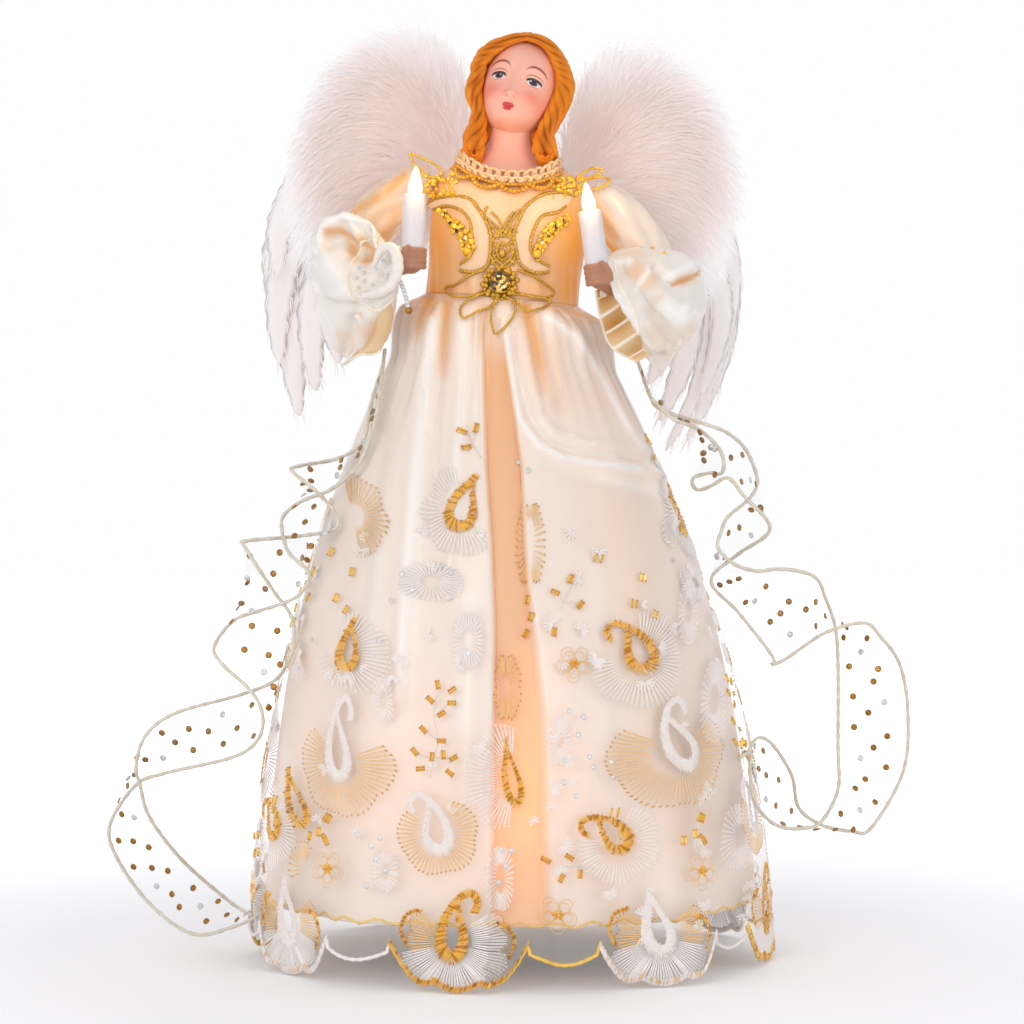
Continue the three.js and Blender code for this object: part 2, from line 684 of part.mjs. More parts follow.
function wingLayer(side, outline, round, front, thickness, bevel) {
  const corners = outline.map(([x, z]) => new THREE.Vector2(x, z));
  const shape = new THREE.Shape();
  if (round) {
    const curve = spline(corners.map((p) => vec(p.x, p.y, 0)), true);
    shape.setFromPoints(curve.getSpacedPoints(32).slice(0, -1).map((p) => new THREE.Vector2(p.x, p.y)));
  } else {
    shape.setFromPoints(corners);
  }
  const flat = thickness - 2 * bevel;
  const options = { depth: flat, steps: 1, bevelEnabled: bevel > 0, curveSegments: 6 };
  Object.assign(options, { bevelThickness: bevel, bevelSize: bevel, bevelOffset: -bevel, bevelSegments: 2 });
  const slab = new THREE.ExtrudeGeometry(shape, options);
  const place = slab.getAttribute("position");
  const points = [];
  const faces = [];
  for (let i = 0; i < place.count; i++) {
    points.push(vec(side * place.getX(i), front + bevel + place.getZ(i), place.getY(i)));
    faces.push(i);
  }
  return oriented(points, faces);
}

function addWing(side, word) {
  const down = [
    [wingInset + 2, 28],
    [14, 50],
    [17, 68],
    [24, 83],
    [36, 88.5],
    [50, 86],
    [62.5, 77],
    [71, 61],
    [74, 44],
    [72.5, 26],
    [67, 12],
    [54, 8],
    [38, 14],
    [22, 20],
  ];
  piece(figure, `wing_down_${word}`, wingLayer(side, down, true, wingFront, downThickness, 3), 0xf7f5f3);
  const plumes = [
    [26, 34],
    [46, 48],
    [66, 50],
    [74, 34],
    [77, 12],
    [78.5, -4],
    [76, -10],
    [74.5, -24],
    [70, -28],
    [66, -43],
    [62, -33],
    [57, -37],
    [54, -22],
    [49, -20],
    [46, -2],
    [38, 12],
  ];
  const plumeSlab = wingLayer(side, plumes, false, plumeFront, plumeThickness, 0);
  piece(figure, `wing_plumes_${word}`, plumeSlab, 0xf3f1ef);

  const middle = [44, 46];
  const rim = [
    [18, 44],
    [19, 60],
    [27, 76],
    [38, 81],
    [50, 78.5],
    [60, 70],
    [66, 56],
    [67, 42],
    [65, 28],
    [57, 19],
    [44, 20],
    [30, 27],
  ];
  const inset = wingWireRadius + clearance + 1;
  const card = rim.map(([x, z]) => {
    const away = Math.hypot(x - middle[0], z - middle[1]);
    const share = 1 - inset / away;
    return [lerp(middle[0], x, share), lerp(middle[1], z, share)];
  });
  piece(figure, `wing_card_${word}`, wingLayer(side, card, true, cardFront, wingCardThickness, 0), 0xefeae2);

  const pinLevels = [padLowHeight + 1, 24, 30, padTopHeight];
  const pinSpots = pinLevels.map((z) => vec(side * wingPinSpread, pinDepth, z));
  const bend = [
    vec(side * (wingPinSpread + 1.2), pinDepth + 1.6, padTopHeight + 3),
    vec(side * (wingPinSpread + 5.5), wireDepth, padTopHeight + 5.4),
  ];
  const round = rim.map(([x, z]) => vec(side * x, wireDepth, z));
  round.push(vec(side * 22, wireDepth, 34));
  const wireLine = spline([...pinSpots, ...bend, ...round]);
  piece(figure, `wing_wire_${word}`, rodAlong(wireLine, wingWireRadius, 4, 50), 0x9a9a98, { metalness: 0.8 });
}

function addWingPad() {
  const near = bustHalfDepth + clearance;
  const corners = [
    [-padHalfWidth, near],
    [padHalfWidth, near],
    [padHalfWidth, near + padDepth],
    [-padHalfWidth, near + padDepth],
  ];
  const block = skin([padLowHeight, padTopHeight].map((z) => corners.map(([x, y]) => vec(x, y, z))));
  let pad = solidOf(block);
  for (const side of [-1, 1]) {
    const fit = wingWireRadius + clearance;
    const bore = turned([[fit, padLowHeight - 5], [fit, padTopHeight + 5]], 8);
    pad = pad.subtract(solidOf(bore.translate(side * wingPinSpread, pinDepth, 0)));
  }
  piece(figure, "wing_pad", geometryOf(pad), 0xefe6d6);
}

// Streamer routes: height, distance out from the side of the skirt, depth, and twist in degrees
const streamerLeft = [
  [194, 1, 0, -90],
  [180, 4, -8, -70],
  [167, 10, -18, 0],
  [155, 9, -24, 90],
  [143, 10, -25, 180],
  [132, 8.5, -25, 270],
  [121, 11, -25, 360],
  [110, 10, -25, 450],
  [100, 13, -24, 540],
  [87, 12, -20, 630],
  [74, 22, -14, 700],
  [62, 31, -8, 790],
  [50, 37, -4, 880],
  [38, 36.5, 0, 905],
  [26, 30, 2, 925],
  [17, 22, 2, 960],
  [13, 11, 0, 990],
];
const streamerRight = [
  [191, 1, 0, 90],
  [181, 6, -6, 120],
  [171, 13, -12, 160],
  [161, 17, -15, 215],
  [151, 16.5, -13, 290],
  [141, 15, -11, 365],
  [131, 13, -12, 440],
  [122, 15, -14, 490],
  [116, 24, -12, 530],
  [114, 35, -8, 540],
  [105, 44.5, -4, 540],
  [89, 44.5, 0, 540],
  [72, 42, 2, 540],
  [57, 34, 2, 555],
  [46, 27, -2, 600],
  [43, 18, -8, 650],
  [48, 14, -14, 700],
  [58, 13.5, -18, 720],
  [69, 14, -20, 735],
];

function streamer(side, route) {
  const spots = route.map(([height, out, depth]) => {
    const share = skirtShare(height);
    const drop = skirtRadius(share) * side * Math.tan(rad(bodyLean)) * Math.pow(1 - share, 3);
    const reach = skirtRadius(share) + overlayOutside + foldDepth * share + out;
    return vec(waistShift * (1 - share) + side * reach, depth, height - drop);
  });
  const line = spline(spots);
  const steps = 64;
  const half = ribbonWidth / 2;
  const thin = ribbonThickness / 2;
  const section = [[-half, thin], [-half, -thin], [half, -thin], [half, thin]];
  const rings = Array.from({ length: steps + 1 }, (_, i) => {
    const along = i / steps;
    const spot = along * (route.length - 1);
    const k = Math.min(route.length - 2, Math.floor(spot));
    const twist = rad(lerp(route[k][3], route[k + 1][3], smooth(spot - k, 0, 1) * 0.5 + (spot - k) * 0.5));
    const middle = line.getPoint(along);
    const run = line.getTangent(along);
    const flat = vec(0, 1, 0).cross(run).normalize();
    const deep = run.clone().cross(flat).normalize();
    const wide = flat.clone().multiplyScalar(Math.cos(twist)).addScaledVector(deep, Math.sin(twist));
    const thick = run.clone().cross(wide).normalize();
    return section.map(([u, v]) => middle.clone().addScaledVector(wide, u).addScaledVector(thick, v));
  });
  return skin(rings, false, Infinity, section.length / 2);
}

addCone();
addSkirts();
addLamps();
addBodice();
addTrims();
addHead();
addArm(-1, "left");
addArm(1, "right");
addWingPad();
addWing(-1, "left");
addWing(1, "right");
piece(topper, "streamer_left", streamer(-1, streamerLeft), 0xefe9dc);
piece(topper, "streamer_right", streamer(1, streamerRight), 0xefe9dc);

export default topper;
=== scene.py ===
# Lighted angel for the top of a tree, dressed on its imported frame. Lengths below are in millimetres.
import json
import math
from math import pi, radians, tau
import bpy
import numpy as np
from numpy import cos, sin
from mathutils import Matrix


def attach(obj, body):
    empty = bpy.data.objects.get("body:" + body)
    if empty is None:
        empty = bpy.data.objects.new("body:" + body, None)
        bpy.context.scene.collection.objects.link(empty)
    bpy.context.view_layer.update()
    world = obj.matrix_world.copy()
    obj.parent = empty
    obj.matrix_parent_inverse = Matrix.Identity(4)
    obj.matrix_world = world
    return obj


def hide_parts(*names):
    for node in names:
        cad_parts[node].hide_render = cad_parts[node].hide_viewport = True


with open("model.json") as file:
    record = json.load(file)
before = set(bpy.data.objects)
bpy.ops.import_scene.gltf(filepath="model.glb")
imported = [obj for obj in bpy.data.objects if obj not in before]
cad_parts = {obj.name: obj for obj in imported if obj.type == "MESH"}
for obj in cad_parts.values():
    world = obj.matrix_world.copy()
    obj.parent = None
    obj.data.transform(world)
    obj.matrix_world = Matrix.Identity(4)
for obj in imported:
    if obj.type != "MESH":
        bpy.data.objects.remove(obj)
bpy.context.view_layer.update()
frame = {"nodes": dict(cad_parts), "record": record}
chance = np.random.default_rng(7)


# Small sums
def lerp(a, b, share):
    return a + (b - a) * share


def smooth(x, low, high):
    t = np.clip((np.asarray(x, float) - low) / (high - low), 0, 1)
    return t * t * (3 - 2 * t)


def unit(v):
    return v / np.maximum(np.linalg.norm(v, axis=-1, keepdims=True), 1e-9)


def rgb(red, green, blue):  # screen colour to the shader's
    flat = [c / 255 for c in (red, green, blue)]
    return tuple(((c + 0.055) / 1.055) ** 2.4 if c > 0.04 else c / 12.92 for c in flat) + (1,)


def around(sides):  # angles of a ring
    return np.arange(sides) / sides * tau


def evenly(count, stops, values):  # a table read at even steps
    return np.interp(np.linspace(0, 1, count), stops, values)


def lengthOf(line):
    return np.linalg.norm(np.diff(line, axis=0), axis=1).sum()


def curveThrough(spots, count, closed=False):
    p = np.asarray(spots, float)
    p = np.vstack([p[-1:], p, p[:2]]) if closed else np.vstack([2 * p[0] - p[1], p, 2 * p[-1] - p[-2]])
    t = np.linspace(0, 1, 20, endpoint=False)[:, None]
    runs = []
    for a, b, c, d in zip(p[:-3], p[1:-2], p[2:-1], p[3:]):
        runs.append(0.5 * (2 * b + (c - a) * t + (2 * a - 5 * b + 4 * c - d) * t**2 + (3 * b - a - 3 * c + d) * t**3))
    fine = np.vstack(runs + [p[-2:-1]])
    gone = np.r_[0, np.cumsum(np.linalg.norm(np.diff(fine, axis=0), axis=1))]
    at = np.linspace(0, gone[-1], count, endpoint=not closed)
    return np.column_stack([np.interp(at, gone, fine[:, k]) for k in range(p.shape[1])])


# Meshes: a bag gathers points and faces that become one piece
class Bag:
    def __init__(self):
        self.points, self.faces, self.count = [], [], 0

    def add(self, points, faces):
        points = np.asarray(points, float).reshape(-1, 3)
        self.points.append(points)
        self.faces.extend((np.asarray(f) + self.count).tolist() for f in faces)
        self.count += len(points)
        return self

    def tube(self, path, radius, sides=8, closed=False):
        return self.add(*tubeAlong(path, radius, sides, closed))


def gridFaces(rows, columns, closed=False, flip=False):
    faces = []
    for row in range(rows - 1):
        for i in range(columns if closed else columns - 1):
            j = (i + 1) % columns
            quad = [row * columns + i, row * columns + j, (row + 1) * columns + j, (row + 1) * columns + i]
            faces.append(quad[::-1] if flip else quad)
    return faces


def cappedFaces(rows, sides):  # a tube with both ends shut
    return gridFaces(rows, sides, True) + [list(range(sides))[::-1], list(range((rows - 1) * sides, rows * sides))]


def loopFaces(rows, sides):  # a tube that ends where it starts
    last = (rows - 1) * sides
    return gridFaces(rows, sides, True) + [[last + i, last + (i + 1) % sides, (i + 1) % sides, i] for i in range(sides)]


def ballFaces(rows, sides):  # rings, then the lowest and the highest point
    low, top = rows * sides, (rows - 1) * sides
    faces = gridFaces(rows, sides, True) + [[low, (i + 1) % sides, i] for i in range(sides)]
    return faces + [[low + 1, top + i, top + (i + 1) % sides] for i in range(sides)]


def tubeAlong(path, radius, sides=8, closed=False):
    path = np.asarray(path, float)
    count = len(path)
    along = np.roll(path, -1, 0) - np.roll(path, 1, 0) if closed else np.gradient(path, axis=0)
    along = unit(along)
    start = np.cross(along[0], [0.3, 0.9, 0.2])
    across = [unit(start)]
    for i in range(1, count):
        across.append(unit(across[-1] - along[i] * (across[-1] @ along[i])))
    across = np.array(across)
    other = np.cross(along, across)
    turn = around(sides)
    size = np.broadcast_to(np.asarray(radius, float), (count,))[:, None, None]
    rings = cos(turn)[None, :, None] * across[:, None] + sin(turn)[None, :, None] * other[:, None]
    points = (path[:, None] + size * rings).reshape(-1, 3)
    return points, loopFaces(count, sides) if closed else cappedFaces(count, sides)


def ballAt(middle, halves, rows=9, sides=12):
    rise = np.linspace(-pi / 2, pi / 2, rows)[1:-1]
    turn = around(sides)
    ring = np.stack([cos(turn), sin(turn), 0 * turn], 1)
    body = [ring * math.cos(a) + [0, 0, math.sin(a)] for a in rise]
    points = np.vstack(body + [[[0, 0, -1]], [[0, 0, 1]]]) * halves + middle
    return points, ballFaces(rows - 2, sides)


def addDisc(bag, middle, normal, radius, thickness, sides=10):
    normal = unit(np.asarray(normal, float))
    across = unit(np.cross(normal, [0.2, 0.3, 0.9]))
    other = np.cross(normal, across)
    turn = around(sides)
    ring = cos(turn)[:, None] * across + sin(turn)[:, None] * other
    profile = ((0.2, 0.1), (1, 0), (1, 0.5), (0.75, 1), (0.2, 0.7))
    rows = [middle + ring * radius * s + normal * thickness * h for s, h in profile]
    bag.add(np.vstack(rows), cappedFaces(5, sides))


def threads(rows, normals, width, lift):  # low three-sided stitches through rows of points
    side = unit(np.cross(normals, rows[-1] - rows[0]))
    width, lift = np.asarray(width)[:, None], np.asarray(lift)[:, None]
    fat = [0.4] + [1.0] * (len(rows) - 2) + [0.4]
    loops = []
    for middle, size in zip(rows, fat):
        loops += [middle - side * width * size / 2, middle + normals * lift * size, middle + side * width * size / 2]
    points = np.stack(loops, 1).reshape(-1, 3)
    last = 3 * len(rows) - 3
    block = [[0, 1, 2], [last, last + 2, last + 1]]
    for s in range(0, last, 3):
        block += [[s, s + 3, s + 4, s + 1], [s + 1, s + 4, s + 5, s + 2], [s + 2, s + 5, s + 3, s]]
    faces = [np.array(f) + 3 * len(rows) * k for k in range(len(normals)) for f in block]
    return points, faces


def strands(roots, ways, bends, length, width, steps=5, facing=None):  # tapered flat barbs that bow from ways to bends
    length = np.broadcast_to(length, (len(roots),))[:, None]
    width = np.broadcast_to(width, (len(roots),))[:, None]
    side = unit(np.cross(ways, bends + chance.normal(0, 0.4, ways.shape) if facing is None else facing))
    rows = []
    for k in range(steps):
        share = k / (steps - 1)
        middle = roots + length * (ways * share + (bends - ways) * share**2 / 2)
        thin = width * (1 - share) ** 0.7 * 0.5 + 0.01
        rows += [middle - side * thin, middle + side * thin]
    points = np.stack(rows, 1).reshape(-1, 3)
    block = [[2 * k, 2 * k + 1, 2 * k + 3, 2 * k + 2] for k in range(steps - 1)]
    faces = (np.array(block)[None] + (np.arange(len(roots)) * 2 * steps)[:, None, None]).reshape(-1, 4)
    return points, faces


def piece(name, bag, finish, body, nodes=(), shade=True, masks=None):
    points, faces = (np.vstack(bag.points), bag.faces) if isinstance(bag, Bag) else bag
    points = np.reshape(points, (-1, 3))
    mesh = bpy.data.meshes.new(name)
    mesh.from_pydata((points / 1000).tolist(), [], [list(map(int, f)) for f in faces])
    mesh.polygons.foreach_set("use_smooth", [shade] * len(mesh.polygons))
    mesh.materials.append(finishes[finish])
    for key, values in (masks or {}).items():
        values = np.ravel(values).astype(np.float32)
        kind, field = ("FLOAT", "value") if len(values) == len(points) else ("FLOAT_VECTOR", "vector")
        mesh.attributes.new(key, kind, "POINT").data.foreach_set(field, values)
    mesh.update()
    made = bpy.data.objects.new(name, mesh)
    bpy.context.scene.collection.objects.link(made)
    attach(made, body)
    if nodes:
        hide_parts(*nodes)
    return made


def thicken(made, thickness, offset=0.0):
    shell = made.modifiers.new("cloth thickness", "SOLIDIFY")
    shell.thickness = thickness / 1000
    shell.offset = offset
    return made


def wear(node, finish):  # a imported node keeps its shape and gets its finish
    frame["nodes"][node].data.materials.clear()
    frame["nodes"][node].data.materials.append(finishes[finish])


# The figure's own frame leans about the waist; the photograph's pixels are read through its camera
signs = {"left": -1, "right": 1}  # sides as seen in the photograph
stance = {"waist": 216, "shift": -3, "lean": radians(5)}
view = {"distance": 1000, "height": 146, "side": 0.33, "pixels": 3.02, "middle": 512}


def toRow(points):  # figure to row
    p = np.asarray(points, float)
    c, s = math.cos(stance["lean"]), math.sin(stance["lean"])
    x = stance["shift"] + p[..., 0] * c + p[..., 2] * s
    z = stance["waist"] - p[..., 0] * s + p[..., 2] * c
    return np.stack([x, p[..., 1], z], -1)


def toFigure(points):
    p = np.asarray(points, float)
    c, s = math.cos(stance["lean"]), math.sin(stance["lean"])
    x, z = p[..., 0] - stance["shift"], p[..., 2] - stance["waist"]
    return np.stack([x * c - z * s, p[..., 1], x * s + z * c], -1)


def seenAt(px, py, depth):  # row point behind a pixel, at a depth
    far = (view["distance"] + depth) / view["distance"] / view["pixels"]
    x = view["side"] + (np.asarray(px, float) - view["middle"]) * far
    z = view["height"] + (view["middle"] - np.asarray(py, float)) * far
    return np.stack([x, np.broadcast_to(depth, x.shape), z], -1)


def pixelOf(points):
    far = view["pixels"] * view["distance"] / (view["distance"] + points[..., 1])
    return (
        view["middle"] + (points[..., 0] - view["side"]) * far,
        view["middle"] - (points[..., 2] - view["height"]) * far,
    )


# Shader helpers
def feed(tree, socket, value):
    if isinstance(value, bpy.types.NodeSocket):
        tree.links.new(value, socket)
    else:
        socket.default_value = value


def addNode(tree, kind, inputs=None, **settings):
    node = tree.nodes.new(kind)
    for key, value in settings.items():
        setattr(node, key, value)
    for key, value in (inputs or {}).items():
        feed(tree, node.inputs[key], value)
    return node


def sums(tree, operation, *values):
    node = addNode(tree, "ShaderNodeMath", operation=operation)
    for socket, value in zip(node.inputs, values):
        feed(tree, socket, value)
    return node.outputs[0]


def blendColour(tree, factor, first, second):
    return addNode(tree, "ShaderNodeMix", {0: factor, 6: first, 7: second}, data_type="RGBA").outputs[2]


def startGroup(name, inputs, outputs):
    tree = bpy.data.node_groups.new(name, "ShaderNodeTree")
    for label, kind, value in inputs:
        socket = tree.interface.new_socket(label, in_out="INPUT", socket_type="NodeSocket" + kind)
        if value is not None:
            socket.default_value = value
    for label, kind in outputs:
        tree.interface.new_socket(label, in_out="OUTPUT", socket_type="NodeSocket" + kind)
    return tree, tree.nodes.new("NodeGroupInput").outputs, tree.nodes.new("NodeGroupOutput").inputs


def placeGroup(tree, group, **inputs):
    node = tree.nodes.new("ShaderNodeGroup")
    node.node_tree = group
    for label, value in inputs.items():
        feed(tree, node.inputs[label], value)
    return node.outputs


def makeMottle():  # slow change of colour and gloss over a surface
    tree, given, out = startGroup(
        "softMottle",
        [("Colour", "Color", (1, 1, 1, 1)), ("Tint", "Color", (1, 1, 1, 1)), ("Scale", "Float", 60.0),
         ("Rough", "Float", 0.5), ("Swing", "Float", 0.1)],
        [("Colour", "Color"), ("Rough", "Float")],
    )
    where = addNode(tree, "ShaderNodeTexCoord").outputs["Object"]
    cloud = addNode(tree, "ShaderNodeTexNoise", {"Vector": where, "Scale": given["Scale"], "Detail": 4.0})
    share = cloud.outputs["Fac"]
    tree.links.new(blendColour(tree, share, given["Colour"], given["Tint"]), out["Colour"])
    swing = sums(tree, "MULTIPLY_ADD", sums(tree, "SUBTRACT", share, 0.5), given["Swing"], given["Rough"])
    tree.links.new(swing, out["Rough"])
    return tree


def makeWeave():  # over and under of fine threads
    tree, given, out = startGroup("fineWeave", [("Scale", "Float", 900.0)], [("Height", "Float")])
    where = addNode(tree, "ShaderNodeTexCoord").outputs["Object"]
    bands = []
    for axis in ("X", "Z"):
        wave = addNode(tree, "ShaderNodeTexWave", {"Vector": where, "Scale": given["Scale"], "Distortion": 0.4},
                       wave_type="BANDS", bands_direction=axis)
        bands.append(wave.outputs["Fac"])
    tree.links.new(sums(tree, "MULTIPLY", *bands), out["Height"])
    return tree


def makeGrain():  # small bumps of paint, plastic, card and cast metal
    tree, given, out = startGroup("fineGrain", [("Scale", "Float", 400.0)], [("Height", "Float")])
    where = addNode(tree, "ShaderNodeTexCoord").outputs["Object"]
    grain = addNode(tree, "ShaderNodeTexNoise", {"Vector": where, "Scale": given["Scale"], "Detail": 5.0})
    tree.links.new(grain.outputs["Fac"], out["Height"])
    return tree


def makeTwist():  # lay of a twisted cord, slanting over it
    tree, given, out = startGroup("cordTwist", [("Scale", "Float", 500.0)], [("Height", "Float")])
    where = addNode(tree, "ShaderNodeTexCoord").outputs["Object"]
    slant = addNode(tree, "ShaderNodeTexWave", {"Vector": where, "Scale": given["Scale"], "Distortion": 1.5},
                    wave_type="BANDS", bands_direction="DIAGONAL")
    tree.links.new(slant.outputs["Fac"], out["Height"])
    return tree


def makeMark():  # painted oval, turned in the plane of the face
    tree, given, out = startGroup(
        "paintedMark",
        [("Place", "Vector", None), ("Middle", "Vector", None), ("Half Width", "Float", 1.0),
         ("Half Height", "Float", 1.0), ("Turn", "Float", 0.0), ("Soft", "Float", 0.2)],
        [("Mask", "Float")],
    )
    away = addNode(tree, "ShaderNodeVectorMath", {0: given["Place"], 1: given["Middle"]}, operation="SUBTRACT")
    turned = addNode(tree, "ShaderNodeVectorRotate", {"Vector": away.outputs[0], "Angle": given["Turn"]},
                     rotation_type="Y_AXIS")
    part = addNode(tree, "ShaderNodeSeparateXYZ", {0: turned.outputs[0]})
    squares = []
    for axis, half in (("X", "Half Width"), ("Z", "Half Height")):
        off = sums(tree, "ABSOLUTE", sums(tree, "DIVIDE", part.outputs[axis], given[half]))
        squares.append(sums(tree, "POWER", off, 2.0))
    reach = sums(tree, "SQRT", sums(tree, "ADD", *squares))
    inner, outer = (sums(tree, way, 1.0, given["Soft"]) for way in ("SUBTRACT", "ADD"))
    ends = {"Value": reach, "From Min": inner, "From Max": outer, "To Min": 1.0, "To Max": 0.0}
    edge = addNode(tree, "ShaderNodeMapRange", ends, interpolation_type="SMOOTHSTEP")
    tree.links.new(edge.outputs["Result"], out["Mask"])
    return tree


mottle, weave, grain, twist, mark = makeMottle(), makeWeave(), makeGrain(), makeTwist(), makeMark()


def startMaterial(name, **sockets):
    material = bpy.data.materials.new(name)
    material.use_nodes = True
    tree = material.node_tree
    shader = tree.nodes["Principled BSDF"]
    for label, value in sockets.items():
        shader.inputs[label].default_value = value
    return material, tree, shader.inputs


def bumpFrom(tree, inputs, height, depth):
    bump = addNode(tree, "ShaderNodeBump", {"Height": height, "Strength": 1.0, "Distance": depth / 1000})
    tree.links.new(bump.outputs[0], inputs["Normal"])


def roughen(tree, inputs, relief, scale, depth):
    bumpFrom(tree, inputs, placeGroup(tree, relief, Scale=scale)["Height"], depth)


def maskOf(tree, name):
    return addNode(tree, "ShaderNodeAttribute", attribute_name=name).outputs["Fac"]


def shadeOf(tree, colour, tint, scale, rough, swing=0.1):
    return placeGroup(tree, mottle, Colour=rgb(*colour), Tint=rgb(*tint), Scale=scale, Rough=rough, Swing=swing)


def paint(tree, inputs, *look):  # mottled colour and gloss on a shader
    shade = shadeOf(tree, *look)
    tree.links.new(shade["Colour"], inputs["Base Color"])
    tree.links.new(shade["Rough"], inputs["Roughness"])
    return shade["Colour"]


def plainFinish(name, colour, tint, scale, rough, relief, bump, bumpScale, swing=0.1, **sockets):
    material, tree, inputs = startMaterial(name, **sockets)
    paint(tree, inputs, colour, tint, scale, rough, swing)
    roughen(tree, inputs, relief, bumpScale, bump)
    return material


def threadFinish(name, colour, tint, scale=420.0, rough=0.36, **sockets):
    return plainFinish(name, colour, tint, scale, rough, twist, 0.012, 1500.0, 0.3, **sockets)


def beadFinish(name, colour, tint, scale, rough, metal):
    return plainFinish(name, colour, tint, scale, rough, grain, 0.04, 900.0, 0.2, Metallic=metal)


def addStops(ramp, stops):
    for k, (at, colour) in enumerate(stops):
        stop = ramp.elements[k] if k < 2 else ramp.elements.new(at)
        stop.position, stop.color = at, rgb(*colour)


def gemFinish():  # cut glass: painted reflections, each cell coloured from dark to bright as a facet that catches the light another way
    material, tree, inputs = startMaterial("cut gem", Metallic=0.3, **{"Coat Weight": 0.6})
    paint(tree, inputs, (255, 255, 255), (200, 200, 200), 500.0, 0.12)
    place = addNode(tree, "ShaderNodeTexCoord").outputs["Object"]
    cells = addNode(tree, "ShaderNodeTexVoronoi", {"Vector": place, "Scale": 1050.0})
    part = addNode(tree, "ShaderNodeSeparateColor", {"Color": cells.outputs["Color"]})
    paintedFacets = addNode(tree, "ShaderNodeValToRGB", {"Fac": part.outputs["Red"]})
    paintedFacets.color_ramp.interpolation = "CONSTANT"
    addStops(paintedFacets.color_ramp, [(0.0, (34, 22, 8)), (0.24, (176, 118, 22)), (0.48, (240, 186, 52)),
                                 (0.74, (120, 76, 14)), (0.86, (255, 230, 140))])
    tree.links.new(paintedFacets.outputs["Color"], inputs["Base Color"])
    roughen(tree, inputs, grain, 700.0, 0.04)
    return material


def satinFinish(name, colour, tint, paintedWarmLight, lit, rough=0.33, **sockets):
    material, tree, inputs = startMaterial(name, **sockets)
    # painted lamplight and shade: the cloth turns orange-tan where lamps colour it and in the fold valleys
    cloth = blendColour(tree, maskOf(tree, "paintedWarmLight"), paint(tree, inputs, colour, tint, 28.0, rough, 0.12), rgb(*paintedWarmLight))
    # painted highlight: near-white colour along the folds
    tree.links.new(blendColour(tree, maskOf(tree, "paintedHighlight"), cloth, rgb(255, 252, 246)), inputs["Base Color"])
    # painted glow: the cloth gives off light where the lamps behind it light it through
    tree.links.new(blendColour(tree, maskOf(tree, "glow"), (0, 0, 0, 1), rgb(*lit)), inputs["Emission Color"])
    inputs["Emission Strength"].default_value = 1.0
    roughen(tree, inputs, weave, 1100.0, 0.005)
    return material


def sheerFinish(name, colour, tint, alphaLow, alphaHigh, **sockets):  # open weave that shows what is behind it
    material, tree, inputs = startMaterial(name, **sockets)
    paint(tree, inputs, colour, tint, 90.0, 0.35, 0.2)
    cloth = placeGroup(tree, weave, Scale=1400.0)["Height"]
    gaps = addNode(tree, "ShaderNodeMapRange", {"Value": cloth, "To Min": alphaLow, "To Max": alphaHigh})
    tree.links.new(gaps.outputs["Result"], inputs["Alpha"])
    bumpFrom(tree, inputs, cloth, 0.004)
    return material


def softFinish(name, colour, tint, lit, lift):  # light that has scattered through down is a faint glow here
    material, tree, inputs = startMaterial(name, **{"Emission Strength": lift, "Sheen Weight": 0.3})
    down, pale = paint(tree, inputs, colour, tint, 34.0, 0.85), maskOf(tree, "pale")
    # painted light: where the pale mask is high the down is whiter and glows more
    tree.links.new(blendColour(tree, pale, down, rgb(248, 248, 250)), inputs["Base Color"])
    tree.links.new(blendColour(tree, pale, rgb(*lit), rgb(255, 250, 250)), inputs["Emission Color"])
    roughen(tree, inputs, grain, 260.0, 0.1)
    return material


def litGlass():
    material, tree, inputs = startMaterial("lit glass", Roughness=0.12,
                                           **{"Emission Strength": 1.5, "Coat Weight": 0.3})
    flame = addNode(tree, "ShaderNodeValToRGB", {"Fac": maskOf(tree, "rise")})
    addStops(flame.color_ramp, [(0.0, (255, 176, 50)), (1.0, (255, 190, 60)), (0.28, (255, 244, 200)),
                                (0.6, (255, 252, 232)), (0.85, (255, 228, 130))])
    tree.links.new(flame.outputs["Color"], inputs["Emission Color"])
    glass = shadeOf(tree, (255, 240, 205), (255, 226, 170), 300.0, 0.12)
    tree.links.new(glass["Colour"], inputs["Base Color"])
    return material


def lampGlass():
    material, tree, inputs = startMaterial("skirt lamp glass", Roughness=0.15, **{"Emission Strength": 1.6})
    glass = shadeOf(tree, (255, 224, 150), (255, 190, 96), 260.0, 0.15)
    for socket in ("Base Color", "Emission Color"):
        tree.links.new(glass["Colour"], inputs[socket])
    return material


